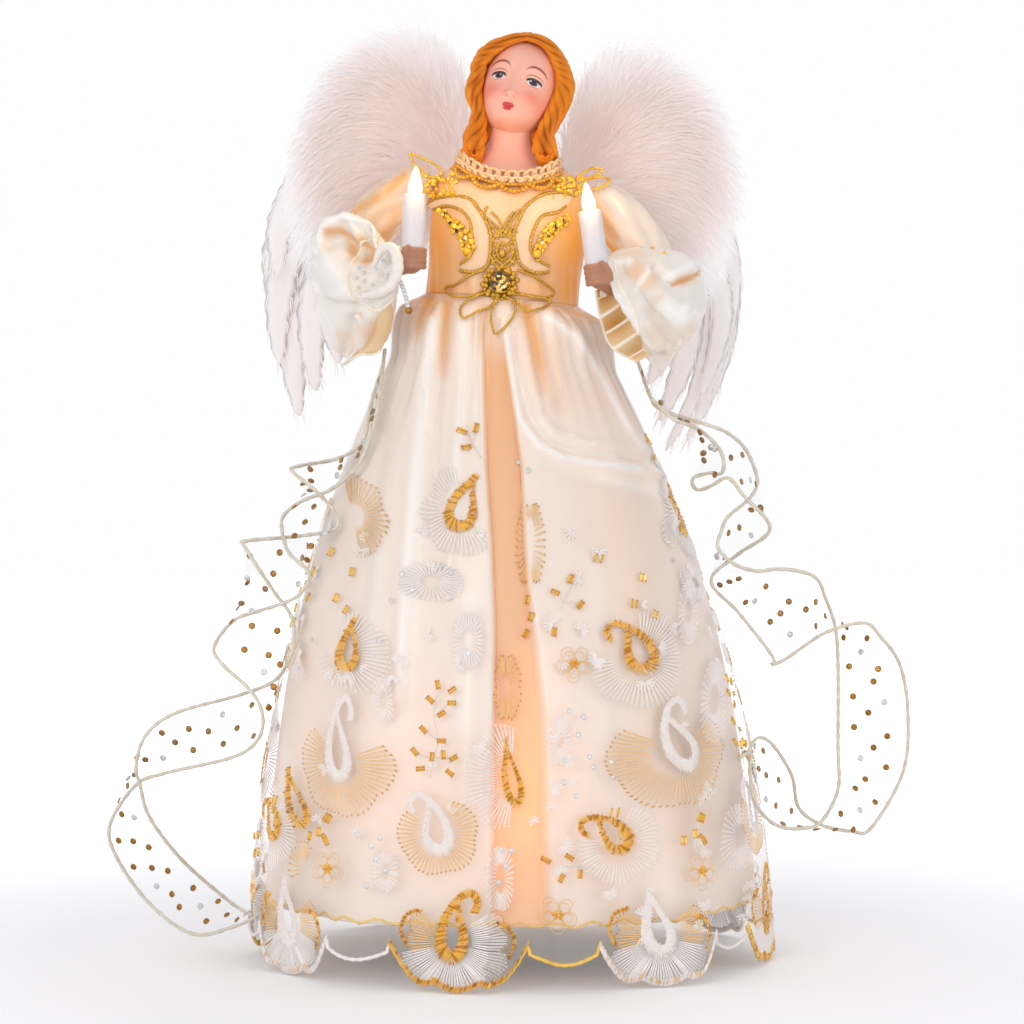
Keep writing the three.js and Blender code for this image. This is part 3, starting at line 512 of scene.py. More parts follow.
finishes = {
    "satin": satinFinish("ivory satin", (253, 240, 228), (248, 229, 213), (234, 166, 78), (255, 158, 66),
                         **{"Sheen Weight": 0.25, "Sheen Roughness": 0.3, "Coat Weight": 0.12}),
    "bodiceSatin": satinFinish("bodice satin", (250, 214, 176), (244, 200, 156), (234, 158, 44), (255, 150, 40),
                               **{"Sheen Weight": 0.2, "Coat Weight": 0.1}),
    "sleeveSatin": satinFinish("sleeve satin", (250, 246, 240), (236, 226, 212), (220, 160, 78), (255, 166, 70),
                               0.26, **{"Sheen Weight": 0.2, "Coat Weight": 0.2}),
    "frillSatin": satinFinish("frill satin", (250, 226, 184), (242, 212, 164), (188, 130, 40), (255, 166, 70),
                              **{"Sheen Weight": 0.2}),
    "trimSatin": plainFinish("cream satin", (250, 214, 178), (240, 200, 160), 90.0, 0.38, weave, 0.006, 1100.0,
                             **{"Sheen Weight": 0.2}),
    "organza": sheerFinish("organza", (255, 250, 244), (250, 240, 230), 0.05, 0.2, **{"Sheen Weight": 0.3}),
    "film": sheerFinish("sheer ribbon", (248, 248, 252), (236, 236, 242), 0.02, 0.1),
    "net": sheerFinish("stiff net", (250, 246, 240), (240, 232, 222), 0.25, 0.8),
    "goldThread": threadFinish("gold thread", (255, 220, 116), (246, 194, 78), Metallic=0.06),
    "paleGold": threadFinish("pale gold thread", (252, 218, 164), (240, 196, 132), rough=0.4, Metallic=0.1),
    "whiteThread": threadFinish("white thread", (254, 249, 245), (250, 241, 235), 380.0, 0.42, **{"Sheen Weight": 0.4}),
    "deepGold": threadFinish("deep gold thread", (228, 170, 66), (190, 130, 40), Metallic=0.1),
    "silverThread": threadFinish("silver thread", (238, 236, 236), (214, 212, 214), Metallic=0.15),
    "bugle": beadFinish("bugle bead", (255, 212, 96), (226, 166, 44), 300.0, 0.24, 0.35),
    "goldBead": beadFinish("gold bead", (255, 206, 70), (236, 168, 28), 260.0, 0.22, 0.45),
    "darkBead": beadFinish("old gold bead", (240, 184, 62), (188, 116, 24), 500.0, 0.24, 0.4),
    "oldGold": beadFinish("old gold cord", (236, 188, 66), (150, 104, 20), 900.0, 0.24, 0.4),
    "silverSequin": plainFinish("silver sequin", (226, 226, 224), (196, 198, 200), 300.0, 0.3, grain, 0.03, 700.0,
                                Metallic=0.3),
    "bronzeDisc": plainFinish("bronze disc", (190, 136, 46), (110, 68, 18), 420.0, 0.3, grain, 0.05, 600.0, 0.2,
                              Metallic=0.6),
    "ribbonCord": plainFinish("ribbon cord", (240, 239, 234), (206, 190, 150), 520.0, 0.4, twist, 0.05, 900.0, 0.2,
                              Metallic=0.1),
    "collarCord": plainFinish("collar cord", (252, 216, 170), (234, 186, 134), 300.0, 0.45, twist, 0.03, 900.0, 0.2),
    "piping": plainFinish("satin piping", (255, 246, 230), (246, 232, 208), 200.0, 0.35, twist, 0.01, 900.0),
    "candle": plainFinish("candle tube", (230, 225, 226), (217, 211, 216), 60.0, 0.4, grain, 0.03, 300.0,
                          **{"Coat Weight": 0.2}),
    "socket": plainFinish("white plastic", (236, 234, 226), (220, 216, 204), 80.0, 0.45, grain, 0.03, 500.0),
    "card": plainFinish("cone card", (214, 196, 164), (194, 172, 136), 120.0, 0.85, grain, 0.12, 260.0),
    "foam": plainFinish("torso foam", (228, 214, 190), (212, 196, 168), 160.0, 0.9, grain, 0.2, 320.0),
    "felt": plainFinish("wing felt", (238, 230, 216), (222, 212, 196), 200.0, 0.95, grain, 0.25, 520.0,
                        **{"Sheen Weight": 0.4}),
    "wire": plainFinish("steel wire", (176, 176, 174), (140, 138, 134), 300.0, 0.35, grain, 0.03, 800.0, Metallic=0.9),
    "lead": plainFinish("lead jacket", (226, 222, 208), (206, 200, 184), 200.0, 0.5, grain, 0.03, 600.0),
    "quill": plainFinish("quill", (238, 232, 224), (214, 204, 194), 80.0, 0.5, grain, 0.02, 700.0),
    "hand": plainFinish("painted hand", (192, 138, 106), (162, 110, 80), 140.0, 0.5, grain, 0.05, 500.0),
    "down": softFinish("wing down", (228, 209, 202), (220, 200, 193), (228, 208, 200), 0.3),
    "barb": softFinish("white barbs", (245, 234, 230), (236, 223, 218), (196, 180, 175), 0.13),
    "gem": gemFinish(),
    "litGlass": litGlass(),
    "lampGlass": lampGlass(),
}
print("materials ready")


# Camera, floor, sky and lamps
stage = {
    "lens": 106.17, "floor": -0.4, "ambient": 0.62, "key": 6.5, "fill": 3.8, "low": 1.7, "rim": 3.0, "candle": 0.018,
}


def seenDirectly(tree):  # one for what the camera, a mirror or glass shows, else nought
    rays = addNode(tree, "ShaderNodeLightPath").outputs
    glass = sums(tree, "MAXIMUM", rays["Is Glossy Ray"], rays["Is Transmission Ray"])
    return sums(tree, "MAXIMUM", rays["Is Camera Ray"], glass)


def makeStage():
    camera = bpy.data.cameras.new("photo camera")
    camera.lens = stage["lens"]
    camera.sensor_width = 36
    eye = bpy.data.objects.new("photo camera", camera)
    eye.location = (view["side"] / 1000, -view["distance"] / 1000, view["height"] / 1000)
    eye.rotation_euler = (pi / 2, 0, 0)
    bpy.context.scene.collection.objects.link(eye)
    bpy.context.scene.camera = eye
    bpy.context.scene.view_settings.view_transform = "Standard"

    world = bpy.data.worlds.new("white room")
    bpy.context.scene.world = world
    world.use_nodes = True
    tree = world.node_tree
    seen = seenDirectly(tree)
    room = tree.nodes["Background"].inputs
    tree.links.new(blendColour(tree, seen, rgb(250, 250, 255), (1, 1, 1, 1)), room["Color"])
    level = addNode(tree, "ShaderNodeMapRange", {"Value": seen, "To Min": stage["ambient"], "To Max": 1.0})
    tree.links.new(level.outputs["Result"], room["Strength"])

    pale, tree, inputs = startMaterial("pale floor", Roughness=0.9)
    tree.links.new(shadeOf(tree, (252, 252, 252), (248, 248, 250), 3.0, 0.9)["Colour"], inputs["Base Color"])
    seen = seenDirectly(tree)
    place = addNode(tree, "ShaderNodeNewGeometry").outputs["Position"]
    away = addNode(tree, "ShaderNodeVectorMath", {0: place}, operation="LENGTH").outputs["Value"]
    ends = {"Value": away, "From Min": 0.16, "From Max": 0.7, "To Min": 0.14, "To Max": 0.75}
    lift = addNode(tree, "ShaderNodeMapRange", ends)  # the floor clears to white away from the part
    white = blendColour(tree, lift.outputs["Result"], (0, 0, 0, 1), (1, 1, 1, 1))
    tree.links.new(blendColour(tree, seen, (0, 0, 0, 1), white), inputs["Emission Color"])
    inputs["Emission Strength"].default_value = 1.0
    side, low = 6000, stage["floor"]
    mesh = bpy.data.meshes.new("floor")
    corners = [(-side, -side, low), (side, -side, low), (side, side, low), (-side, side, low)]
    mesh.from_pydata((np.array(corners) / 1000).tolist(), [], [[0, 1, 2, 3]])
    mesh.materials.append(pale)
    floor = bpy.data.objects.new("floor", mesh)
    bpy.context.scene.collection.objects.link(floor)

    for name, spot, aim, size, power in (
        ("key light", (-0.62, -1.5, 0.75), (0, 0, 0.18), 0.9, stage["key"]),
        ("fill light", (1.2, -1.1, 0.4), (0, 0, 0.15), 1.0, stage["fill"]),
        ("low light", (-1.2, -0.9, 0.12), (0, 0, 0.15), 0.8, stage["low"]),
        ("rim light", (0.5, 1.3, 1.2), (0, 0, 0.2), 0.9, stage["rim"]),
    ):
        lamp = bpy.data.lights.new(name, "AREA")
        lamp.energy, lamp.size = power, size
        made = bpy.data.objects.new(name, lamp)
        made.location = spot
        aimed = made.location.copy()
        for k in range(3):
            aimed[k] = aim[k] - spot[k]
        made.rotation_euler = aimed.to_track_quat("-Z", "Y").to_euler()
        bpy.context.scene.collection.objects.link(made)


makeStage()
print("stage ready")


# Skirts: one surface for the satin, the sheer layer over it and what is sewn on that
skirt = {
    "halfWidth": 25.2, "halfDepth": 17.8, "hem": 84, "fold": 2.4, "satinHem": 19, "top": 215.5, "pleatDepth": 4.2,
    "satinIn": 4.2, "sheerAway": 0.95, "lobes": 8, "firstLobe": radians(-101.25), "lobeLift": 11, "swag": 3,
    "puff": 5.4,
}
pleatLine = {  # height, left edge and right edge of the inverted pleat
    "height": [0, 84, 110, 135, 160, 198, 214],
    "left": [-6.2, -5.9, -5.5, -6.5, -8.4, -9.6, -8.6],
    "right": [13, 10.4, 7.2, 5, 4.1, -1.4, -3.6],
}
drapes = [  # soft folds: pixels of the line, height, width in pixels
    ([(503, 322), (512, 378), (520, 420), (537, 443), (559, 457), (593, 463), (640, 470), (690, 485)], 1.5, 5),
    ([(516, 330), (521, 372), (532, 418), (550, 440), (580, 449), (620, 454), (690, 470)], -1.1, 6),
    ([(528, 360), (540, 416), (556, 434), (590, 444), (640, 450)], 1.0, 5),
    ([(548, 470), (580, 478), (630, 488), (690, 505)], -0.8, 9),
    ([(548, 312), (576, 336), (598, 373), (618, 412), (640, 446), (668, 520)], 1.6, 7),
    ([(562, 308), (590, 326), (622, 372), (650, 430)], -1.2, 10),
    ([(526, 306), (532, 340), (544, 392)], -2.0, 7),
    ([(429, 320), (420, 420), (410, 520), (402, 620), (396, 700)], 1.5, 9),
    ([(446, 306), (442, 353), (436, 440), (430, 520)], -1.6, 7),
    ([(464, 318), (460, 400), (454, 500), (447, 590)], 1.4, 8),
    ([(474, 320), (472, 380), (468, 450)], -0.9, 5),
    ([(400, 318), (388, 400), (374, 500), (362, 600)], -1.2, 9),
    ([(592, 560), (600, 660), (612, 760)], 0.9, 16),
    ([(470, 620), (466, 720), (462, 820)], 1.0, 13),
    ([(350, 640), (340, 760), (330, 880)], -0.9, 14),
]
warmStrokes = [  # where lamp light colours the cloth: pixels, width, strength, where it fades
    ([(430, 300), (424, 322), (417, 346)], 11, 0.95, (316, 352)),
    ([(448, 304), (445, 330), (443, 372)], 8, 0.95, (330, 412)), ([(484, 310), (483, 360)], 10, 0.6, (330, 372)),
    ([(474, 316), (473, 350)], 3, 0.5, (330, 360)), ([(525, 308), (533, 335), (545, 392)], 10, 1.0, (342, 425)),
    ([(552, 303), (592, 318)], 12, 0.55, (314, 334)), ([(550, 350), (560, 410)], 14, 0.3, (400, 430)),
    ([(404, 304), (390, 330)], 11, 0.45, (328, 356)), ([(600, 400), (640, 430)], 34, 0.14, (900, 999)),
    ([(620, 510), (630, 640)], 52, 0.2, (900, 999)), ([(660, 720), (690, 820)], 40, 0.2, (900, 999)),
]
shineStrokes = [  # painted highlights: pale colour along the folds
    ([(432, 322), (418, 460), (408, 580), (402, 680)], 8, 0.85), ([(464, 326), (460, 420), (452, 520)], 5, 0.7),
    ([(477, 316), (475, 420)], 2.5, 0.7),
    ([(503, 326), (512, 378), (520, 420), (537, 443), (559, 457), (593, 463), (640, 470)], 3.2, 0.95),
    ([(514, 366), (529, 418), (548, 444), (576, 453), (614, 457)], 2.4, 0.8),
    ([(548, 318), (576, 336), (598, 373), (618, 412), (640, 446)], 3.4, 0.9), ([(600, 478), (660, 492)], 8, 0.5),
    ([(470, 600), (462, 720)], 10, 0.6), ([(380, 560), (372, 680)], 9, 0.5), ([(596, 560), (604, 640)], 12, 0.3),
]
glowSpots = [  # painted glow of the lamps behind the cloth: pixel, reach across and down, strength
    (520, 795, 26, 60, 0.34), (538, 690, 22, 60, 0.16), (560, 780, 40, 70, 0.14), (470, 860, 60, 60, 0.1),
    (390, 800, 70, 70, 0.1), (300, 700, 40, 90, 0.06), (620, 860, 70, 50, 0.08), (430, 700, 60, 80, 0.06),
]


def strokeMask(px, py, spots, width):  # soft brush along a line of pixels
    line = np.asarray(spots, float)
    best = np.full(np.shape(px), 1e9)
    for a, b in zip(line[:-1], line[1:]):
        run = b - a
        t = np.clip(((px - a[0]) * run[0] + (py - a[1]) * run[1]) / (run @ run), 0, 1)
        best = np.minimum(best, (px - a[0] - run[0] * t) ** 2 + (py - a[1] - run[1] * t) ** 2)
    return np.exp(-best / (2 * (width * 0.6) ** 2))


def strokes(table, px, py, keep):  # strongest of several brushes, some of which fade downwards
    total = np.zeros(np.shape(px))
    for spots, width, strength, *fade in table:
        shown = 1 - smooth(py, *fade[0]) if fade else 1
        total = np.maximum(total, strength * strokeMask(px, py, spots, width) * keep * shown)
    return total


def foldRelief(table, px, py, keep):
    return sum(rise * strokeMask(px, py, spots, width) * keep for spots, rise, width in table)


def skirtShare(height):
    return np.clip((stance["waist"] - np.asarray(height, float)) / stance["waist"], 0, 1.02)


def skirtRadius(share):
    return skirt["halfWidth"] + (skirt["hem"] - skirt["halfWidth"]) * share * (2 - share)


def skirtDepth(share):
    return lerp(skirt["halfDepth"] / skirt["halfWidth"], 1, smooth(share, 0, 0.28))


def waistPuff(share, across):  # the gathers stand out just under the waist
    return skirt["puff"] * smooth(share, 0, 0.025) * (1 - smooth(share, 0.03, 0.11)) * (0.35 + 0.65 * across**2)


def skirtBase(angle, height, offset):
    share = skirtShare(height)
    gathers = skirt["fold"] * share * (0.6 * cos(9 * angle + 1.1) + 0.4 * cos(14 * angle - 0.4))
    radius = skirtRadius(share) + waistPuff(share, cos(angle)) + offset + gathers
    x = stance["shift"] * (1 - share) + radius * cos(angle)
    y = radius * skirtDepth(share) * sin(angle)
    z = height - (x - stance["shift"]) * math.tan(stance["lean"]) * (1 - share) ** 3
    return np.stack([x, y, z], -1)


def pleatMask(base, angle, height):
    left = np.interp(height, pleatLine["height"], pleatLine["left"])
    right = np.interp(height, pleatLine["height"], pleatLine["right"])
    soft = lerp(2.2, 0.6, smooth(height, 90, 130))
    inside = smooth(base[..., 0], left - 0.5, left + 0.5) * (1 - smooth(base[..., 0], right - soft, right + soft))
    return inside * (sin(angle) < -0.6) * smooth(skirtShare(height), 0.01, 0.12)


def skirtAt(angle, height, offset):
    angle, height = np.broadcast_arrays(np.asarray(angle, float), np.asarray(height, float))
    base = skirtBase(angle, height, 0)
    share = skirtShare(height)
    px, py = pixelOf(base)
    front = smooth(-sin(angle), 0.12, 0.3)
    relief = foldRelief(drapes, px, py, front)
    back = smooth(sin(angle), 0.0, 0.4) * smooth(share, 0.02, 0.2)
    relief = relief + back * 1.3 * sin(17 * angle + 1.5 * sin(5 * angle)) * (1 - 0.6 * share)
    gather = smooth(share, 0.0, 0.02) * (1 - smooth(share, 0.08, 0.32))
    relief = relief + gather * (0.22 * sin(46 * angle) + 0.4 * sin(25 * angle + 2))
    relief = relief - skirt["pleatDepth"] * pleatMask(base, angle, height)
    return skirtBase(angle, height, offset + relief)


def skirtNormal(angle, height, offset):
    aside = skirtAt(angle + 0.006, height, offset) - skirtAt(angle - 0.006, height, offset)
    down = skirtAt(angle, np.asarray(height) - 0.5, offset) - skirtAt(angle, np.asarray(height) + 0.5, offset)
    return unit(np.cross(down, aside))


def underPixel(px, py):  # angle and height on the skirt behind a pixel
    px, py = np.broadcast_arrays(np.asarray(px, float), np.asarray(py, float))
    y, height = np.full(px.shape, -60.0), np.full(px.shape, 100.0)
    for _ in range(30):
        x, _, z = np.moveaxis(seenAt(px, py, y), -1, 0)
        share = skirtShare(height)
        height = z + (x - stance["shift"]) * math.tan(stance["lean"]) * (1 - share) ** 3
        radius = skirtRadius(share) + 1.2
        c = np.clip((x - stance["shift"] * (1 - share)) / radius, -0.985, 0.985)
        y = -radius * skirtDepth(share) * np.sqrt(1 - c * c)
    return np.arctan2(-np.sqrt(1 - c * c), c), height


def hemEdge(angle):  # broad scallops stand on the table, small swags hang between them
    pitch = tau / skirt["lobes"]
    away = np.mod(np.asarray(angle) - skirt["firstLobe"] + pitch / 2, pitch) - pitch / 2
    off = np.abs(away)
    flat, half = pitch / 8, pitch / 3
    rise = np.maximum(0, off - flat * 1.001) / (half - flat)
    lobe = skirt["lobeLift"] * rise**1.6 + 2.4 * (1 - np.abs(cos(away / half * 1.5 * pi)))
    swag = skirt["lobeLift"] - skirt["swag"] * sin(np.clip((off - half) / (pitch / 2 - half), 0, 1) * pi / 2)
    return np.where(off <= half, lobe, swag)


def skirtAngles():  # closer together over the pleat
    bands = [(-152, -102, 0.6), (-102, -76, 0.3), (-76, -28, 0.6), (-28, 208, 1.6)]
    return np.radians(np.concatenate([np.arange(*band) for band in bands]))


def makeSkirts():
    angles = skirtAngles()
    levels = lerp(skirt["top"], skirt["satinHem"], np.linspace(0, 1, 210) ** 1.15)
    angle, height = np.meshgrid(angles, levels)
    points = skirtAt(angle, height, -skirt["satinIn"] * smooth(skirtShare(height), 0.3, 0.85))  # hem tucked in
    px, py = pixelOf(points)
    front = smooth(-sin(angle), 0.1, 0.3)
    share = skirtShare(height)
    pleat = pleatMask(skirtBase(angle, height, 0), angle, height)
    # painted highlights along the front folds, none in the pleat
    paintedHighlight = strokes(shineStrokes, px, py, front) * (1 - pleat)
    # painted lamplight: orange-tan strokes on the front folds, a band under the waist and the lamplit pleat
    paintedWarmLight = np.maximum(strokes(warmStrokes, px, py, front), 0.4 * front * (1 - smooth(share, 0.0, 0.03)))
    paintedWarmLight = np.maximum(paintedWarmLight, pleat * (0.85 - 0.2 * share))
    # painted glow: strongest in front of the lamps, faint at the sides and back, and down the pleat
    glow = sum(s * np.exp(-((px - x) / wide) ** 2 - ((py - y) / tall) ** 2) for x, y, wide, tall, s in glowSpots)
    glow = glow * front + 0.08 * (1 - front) * smooth(share, 0.3, 0.8) + pleat * (0.02 + 0.14 * share)
    satin = piece("satinSkirt", (points, gridFaces(len(levels), len(angles), True)), "satin",
                  "stand", ["satin_skirt"], masks={"paintedWarmLight": paintedWarmLight, "glow": glow, "paintedHighlight": paintedHighlight})
    thicken(satin, 0.5, -1)

    rows = np.linspace(0, 1, 120) ** 1.05
    angle, share = np.meshgrid(angles, rows)
    height = lerp(skirt["top"] - 0.2, hemEdge(angle), share)
    sheer = skirtAt(angle, height, skirt["sheerAway"])
    overlay = piece("sheerOverskirt", (sheer, gridFaces(len(rows), len(angles), True)),
                    "organza", "stand", ["organza_overlay"])
    thicken(overlay, 0.12, 1)

makeSkirts()
print("skirts ready")


# Embroidery: stitches are gathered by thread, in angle and height on the skirt
sewn = {}
sewing = {"away": 1.12, "thread": 0.44, "lift": 0.18, "sprays": 70}


def sew(thread, starts, ends, lay, width=None, lift=None, copies=True):
    here = [np.stack(lay(*np.asarray(spots, float).T), -1) for spots in (starts, ends)]
    entry = sewn.setdefault(thread, [])
    turns = [0, pi] if copies else [0]
    if copies and abs(here[0][:, 0].mean() + pi / 2) < 0.44:  # the figures of the front come again on the sides
        turns += [pi / 2, -pi / 2]
    for turn in turns:
        a, b = (spots + [turn, 0] for spots in here)
        entry.append((a, b, np.full(len(a), width or sewing["thread"]), np.full(len(a), lift or sewing["lift"])))


def turnBy(points, degrees, middle, scale=(1, 1)):  # local, y up, to pixels, y down
    p = np.asarray(points, float) * scale
    a = radians(degrees)
    x = p[:, 0] * math.cos(a) + p[:, 1] * math.sin(a)
    y = -p[:, 0] * math.sin(a) + p[:, 1] * math.cos(a)
    return np.stack([middle[0] + x, middle[1] - y], 1)


blends = {  # shades of thread that are sewn as one
    "goldThread": (("goldThread", "paleGold", "deepGold"), (0.5, 0.24, 0.26)),
    "goldEdge": (("goldThread", "paleGold", "deepGold"), (0.34, 0.46, 0.2)),
    "whiteEdge": (("whiteThread", "paleGold", "silverThread"), (0.74, 0.18, 0.08)),
    "whiteThread": (("whiteThread",), (1.0,)),
}


def sewBlend(look, starts, ends, lay, **how):
    kinds, shares = blends[look]
    pick = chance.choice(len(kinds), len(starts), p=shares)
    for k, kind in enumerate(kinds):
        sew(kind, starts[pick == k], ends[pick == k], lay, **how)


def sewBand(thread, line, half, lay, gap=1.5, **how):  # close stitches across a line
    length = lengthOf(line)
    count = max(4, int(length / gap))
    path = curveThrough(line, count)
    half = evenly(count, np.linspace(0, 1, len(half)), half)[:, None]
    along = unit(np.gradient(path, axis=0))
    across = np.stack([-along[:, 1], along[:, 0]], 1)
    slant = along * half * 0.35
    ragged = half * chance.uniform(0.9, 1.12, (count, 1))
    sewBlend(thread, path - across * ragged - slant, path + across * ragged + slant, lay, **how)


def sewRun(thread, line, lay, length=5.0, **how):  # running stitches along a line
    line = np.asarray(line, float)
    count = max(2, int(lengthOf(line) / length) + 1)
    path = curveThrough(line, count)
    sew(thread, path[:-1], path[1:], lay, **how)


def sewFan(thread, middle, inner, outer, start, stop, lay, knots=None, lobes=4, foot=None, copies=True, gap=4.8):
    inner, outer = np.array(inner, float), np.array(outer, float)  # fine rays with a knot at each end
    count = max(6, int(radians(stop - start) * outer.mean() / gap))
    a = np.radians(np.linspace(start, stop, count))
    way = np.stack([cos(a), -sin(a)], 1)
    swell = 0.93 + 0.1 * np.abs(sin(np.linspace(0, lobes * pi, count))) + chance.uniform(-0.02, 0.02, count)
    near = np.asarray(middle) + way * inner
    far = np.asarray(middle) + way * outer * swell[:, None]
    if foot:
        angle, _ = lay(*far.T)
        far[:, 1] = np.minimum(far[:, 1], foot(angle))
        keep = np.linalg.norm(far - near, axis=1) > 4
        near, far = near[keep], far[keep]
    run = unit(far - near)
    aside = np.stack([-run[:, 1], run[:, 0]], 1)
    for side in (-0.8, 0.8):
        sew(thread, near, far + aside * side, lay, width=0.26, lift=0.12, copies=copies)
    sew(knots or thread, far - run * 2.4 - aside, far + aside, lay, width=0.36, lift=0.18, copies=copies)


def sewSpecks(line, half, count, kinds, lay, copies):  # short loose stitches over a filled band
    path = curveThrough(line, 80)
    reach = evenly(80, np.linspace(0, 1, len(half)), half)
    along = unit(np.gradient(path, axis=0))
    across = np.stack([-along[:, 1], along[:, 0]], 1)
    for kind, share in kinds:
        at = chance.integers(2, 78, int(count * share))
        middle = path[at] + across[at] * (reach[at] * chance.uniform(-1.05, 1.05, len(at)))[:, None]
        a = chance.uniform(0, pi, len(at))
        way = np.stack([cos(a), sin(a)], 1) * 1.1
        sew(kind, middle - way, middle + way, lay, width=0.36, lift=0.6, copies=copies)


def sewPaisley(thread, middle, size, tall, turn, hook, band, lay, copies=True):
    tip = [(1.35, 1.75), (1.5, 2.3), (1.05, 2.75), (0.4, 2.6)] if hook else [(0.1, 2.7)]
    drop = [(-0.35, 1.8), (-0.8, 0.9), (-0.9, 0), (-0.62, -0.66), (0, -0.9)]
    back = [(0.62, -0.66), (0.85, 0), (0.62, 0.8), (0.25, 1.5), (0.05, 2.1)]
    side = -1 if hook < 0 else 1
    line = turnBy(np.array(tip + drop + back) * [side, 1], turn, middle, (size, size * tall))
    half = np.array([0.75] * len(tip) + [0.75, 0.85, 1, 1.25, 1.45, 1.25, 1, 0.75, 0.6, 0.5]) * band
    sewBand(thread, line, half, lay, width=0.5, lift=0.36, copies=copies)
    length = lengthOf(line)
    kinds = [("deepGold", 0.3), ("paleGold", 0.45)] if thread == "goldThread" else [("whiteThread", 0.5)]
    sewSpecks(line, half, length * band / 4, kinds, lay, copies)


def sewBars(spots, lay):  # pairs of bugle beads
    spots = np.asarray(spots, float)
    a = np.radians(spots[:, 2])
    way = np.stack([cos(a), -sin(a)], 1)
    across = np.stack([sin(a), cos(a)], 1)
    for side in (-1.4, 1.4):
        middle = spots[:, :2] + across * side
        sew("bugle", middle - way * 4.0, middle + way * 4.0, lay, width=0.8, lift=0.62)
        for end in (-1, 1):
            sew("deepGold", middle + way * end * 3.2, middle + way * end * 4.6, lay, width=0.86, lift=0.66)


def sewFlower(middle, size, lay):
    loop = [(0.15, 0), (0.55, 0.36), (1.0, 0.28), (1.1, 0), (1.0, -0.28), (0.55, -0.36), (0.15, 0)]
    for k in range(5):
        line = turnBy(loop, k * 72 + 20, middle, (size, size))
        sewRun("paleGold", line, lay, 2.5, width=0.26, lift=0.2)
    rays = np.radians(np.arange(6) * 60.0)
    way = np.stack([cos(rays), sin(rays)], 1) * size
    sew("bugle", np.asarray(middle) + way * 0.06, np.asarray(middle) + way * 0.34, lay, width=0.8, lift=0.7)


def layRound(middle):  # pixels about a figure's middle to angle and height, without the stretch at the skirt's edges
    angle, height = underPixel(middle[0] + np.array([-1.0, 0, 1]), np.full(3, float(middle[1])))
    reach = skirtRadius(skirtShare(height[1]))
    slope = min(abs(angle[2] - angle[0]) / 2, 0.303 / (reach * 0.4)) * np.sign(angle[2] - angle[0])

    def lay(px, py):
        px, py = np.asarray(px, float), np.asarray(py, float)
        turn, level = underPixel(np.full(px.shape, float(middle[0])), py)
        return turn + slope * (px - middle[0]), level
    return lay


paisleys = [  # thread, bowl, size, tallness, turn, hook, band
    ("goldThread", (461, 513), 13.5, 1.15, 22, 0, 4.6), ("goldThread", (346, 655), 11.5, 1.25, 14, 0, 4.2),
    ("whiteThread", (338, 757), 12.5, 1.7, -4, 1, 4.6), ("goldThread", (295, 811), 8, 2.0, -12, 0, 3.2),
    ("whiteThread", (436, 836), 14, 1.15, -14, -1, 5.0), ("goldThread", (514, 788), 8.5, 2.2, -10, 0, 3.0),
    ("goldThread", (641, 656), 13, 1.15, -26, -1, 4.4), ("whiteThread", (682, 750), 14, 1.3, -28, 1, 4.6),
    ("goldThread", (620, 839), 13, 1.1, -46, -1, 4.4),
]
fans = [  # thread, middle, inner, outer, start, stop, knots
    ("whiteThread", (461, 510), (20, 24), (42, 46), 100, 318, "silverThread"),
    ("paleGold", (531, 543), (3, 26), (15, 43), -80, 80, "deepGold"),
    ("paleGold", (529, 543), (3, 26), (13, 43), 100, 262, "deepGold"),
    ("whiteThread", (430, 581), (9, 5), (34, 20), 0, 350, None),
    ("paleGold", (352, 516), (8, 12), (30, 42), -80, 110, "deepGold"),
    ("whiteThread", (345, 652), (17, 22), (42, 42), -80, 84, None),
    ("whiteThread", (340, 652), (18, 24), (30, 36), 190, 290, None),
    ("paleGold", (340, 762), (19, 22), (48, 54), 142, 382, "deepGold"),
    ("paleGold", (436, 834), (21, 22), (42, 42), 148, 420, "deepGold"),
    ("paleGold", (506, 688), (4, 14), (17, 35), -80, 80, "deepGold"),
    ("paleGold", (505, 688), (4, 14), (12, 35), 100, 260, "deepGold"),
    ("whiteThread", (512, 778), (12, 22), (50, 54), 88, 266, None),
    ("whiteThread", (500, 880), (4, 14), (15, 34), 0, 350, None),
    ("whiteThread", (640, 658), (20, 24), (48, 50), 186, 452, "silverThread"),
    ("paleGold", (677, 752), (23, 24), (60, 56), 152, 396, "deepGold"),
    ("whiteThread", (620, 842), (20, 22), (44, 44), 176, 424, "silverThread"),
    ("whiteThread", (468, 640), (6, 10), (18, 30), 0, 350, "silverThread"),
    ("whiteThread", (716, 700), (4, 14), (12, 44), 0, 350, None),
    ("whiteThread", (298, 640), (5, 10), (18, 42), 80, 290, None),
    ("whiteThread", (672, 500), (3, 14), (9, 48), 0, 350, None),
    ("whiteThread", (742, 836), (4, 12), (18, 34), 0, 350, None),
    ("whiteThread", (384, 700), (3, 8), (11, 24), 0, 350, None),
    ("whiteThread", (560, 740), (3, 8), (12, 26), 0, 350, None),
    ("whiteThread", (384, 872), (3, 8), (14, 22), 0, 350, "silverThread"),
    ("paleGold", (300, 870), (4, 10), (16, 30), 60, 200, "deepGold"),
    ("whiteThread", (690, 612), (3, 10), (10, 34), 0, 350, None),
]
bars = [
    (462, 431, -25), (476, 428, 75), (466, 447, 10), (331, 552, 62), (350, 572, 78), (334, 598, 66), (345, 610, 60),
    (529, 600, 82), (532, 617, 76), (527, 634, 60), (571, 579, 68), (555, 592, -22), (581, 605, 52), (554, 632, 82),
    (276, 800, 76), (277, 822, 82), (329, 819, 58), (317, 832, 84), (326, 841, -68),
    (437, 685, 100), (452, 690, 35), (429, 700, -40), (452, 703, 0), (441, 714, 30), (422, 730, -45), (441, 741, 0),
    (413, 752, -50), (431, 757, 85), (443, 755, 95), (454, 758, 30), (419, 769, 5), (450, 773, -35),
    (547, 861, -22), (569, 857, -32), (561, 878, 64), (580, 874, 85), (697, 817, 64), (680, 840, 85), (699, 838, -48),
]
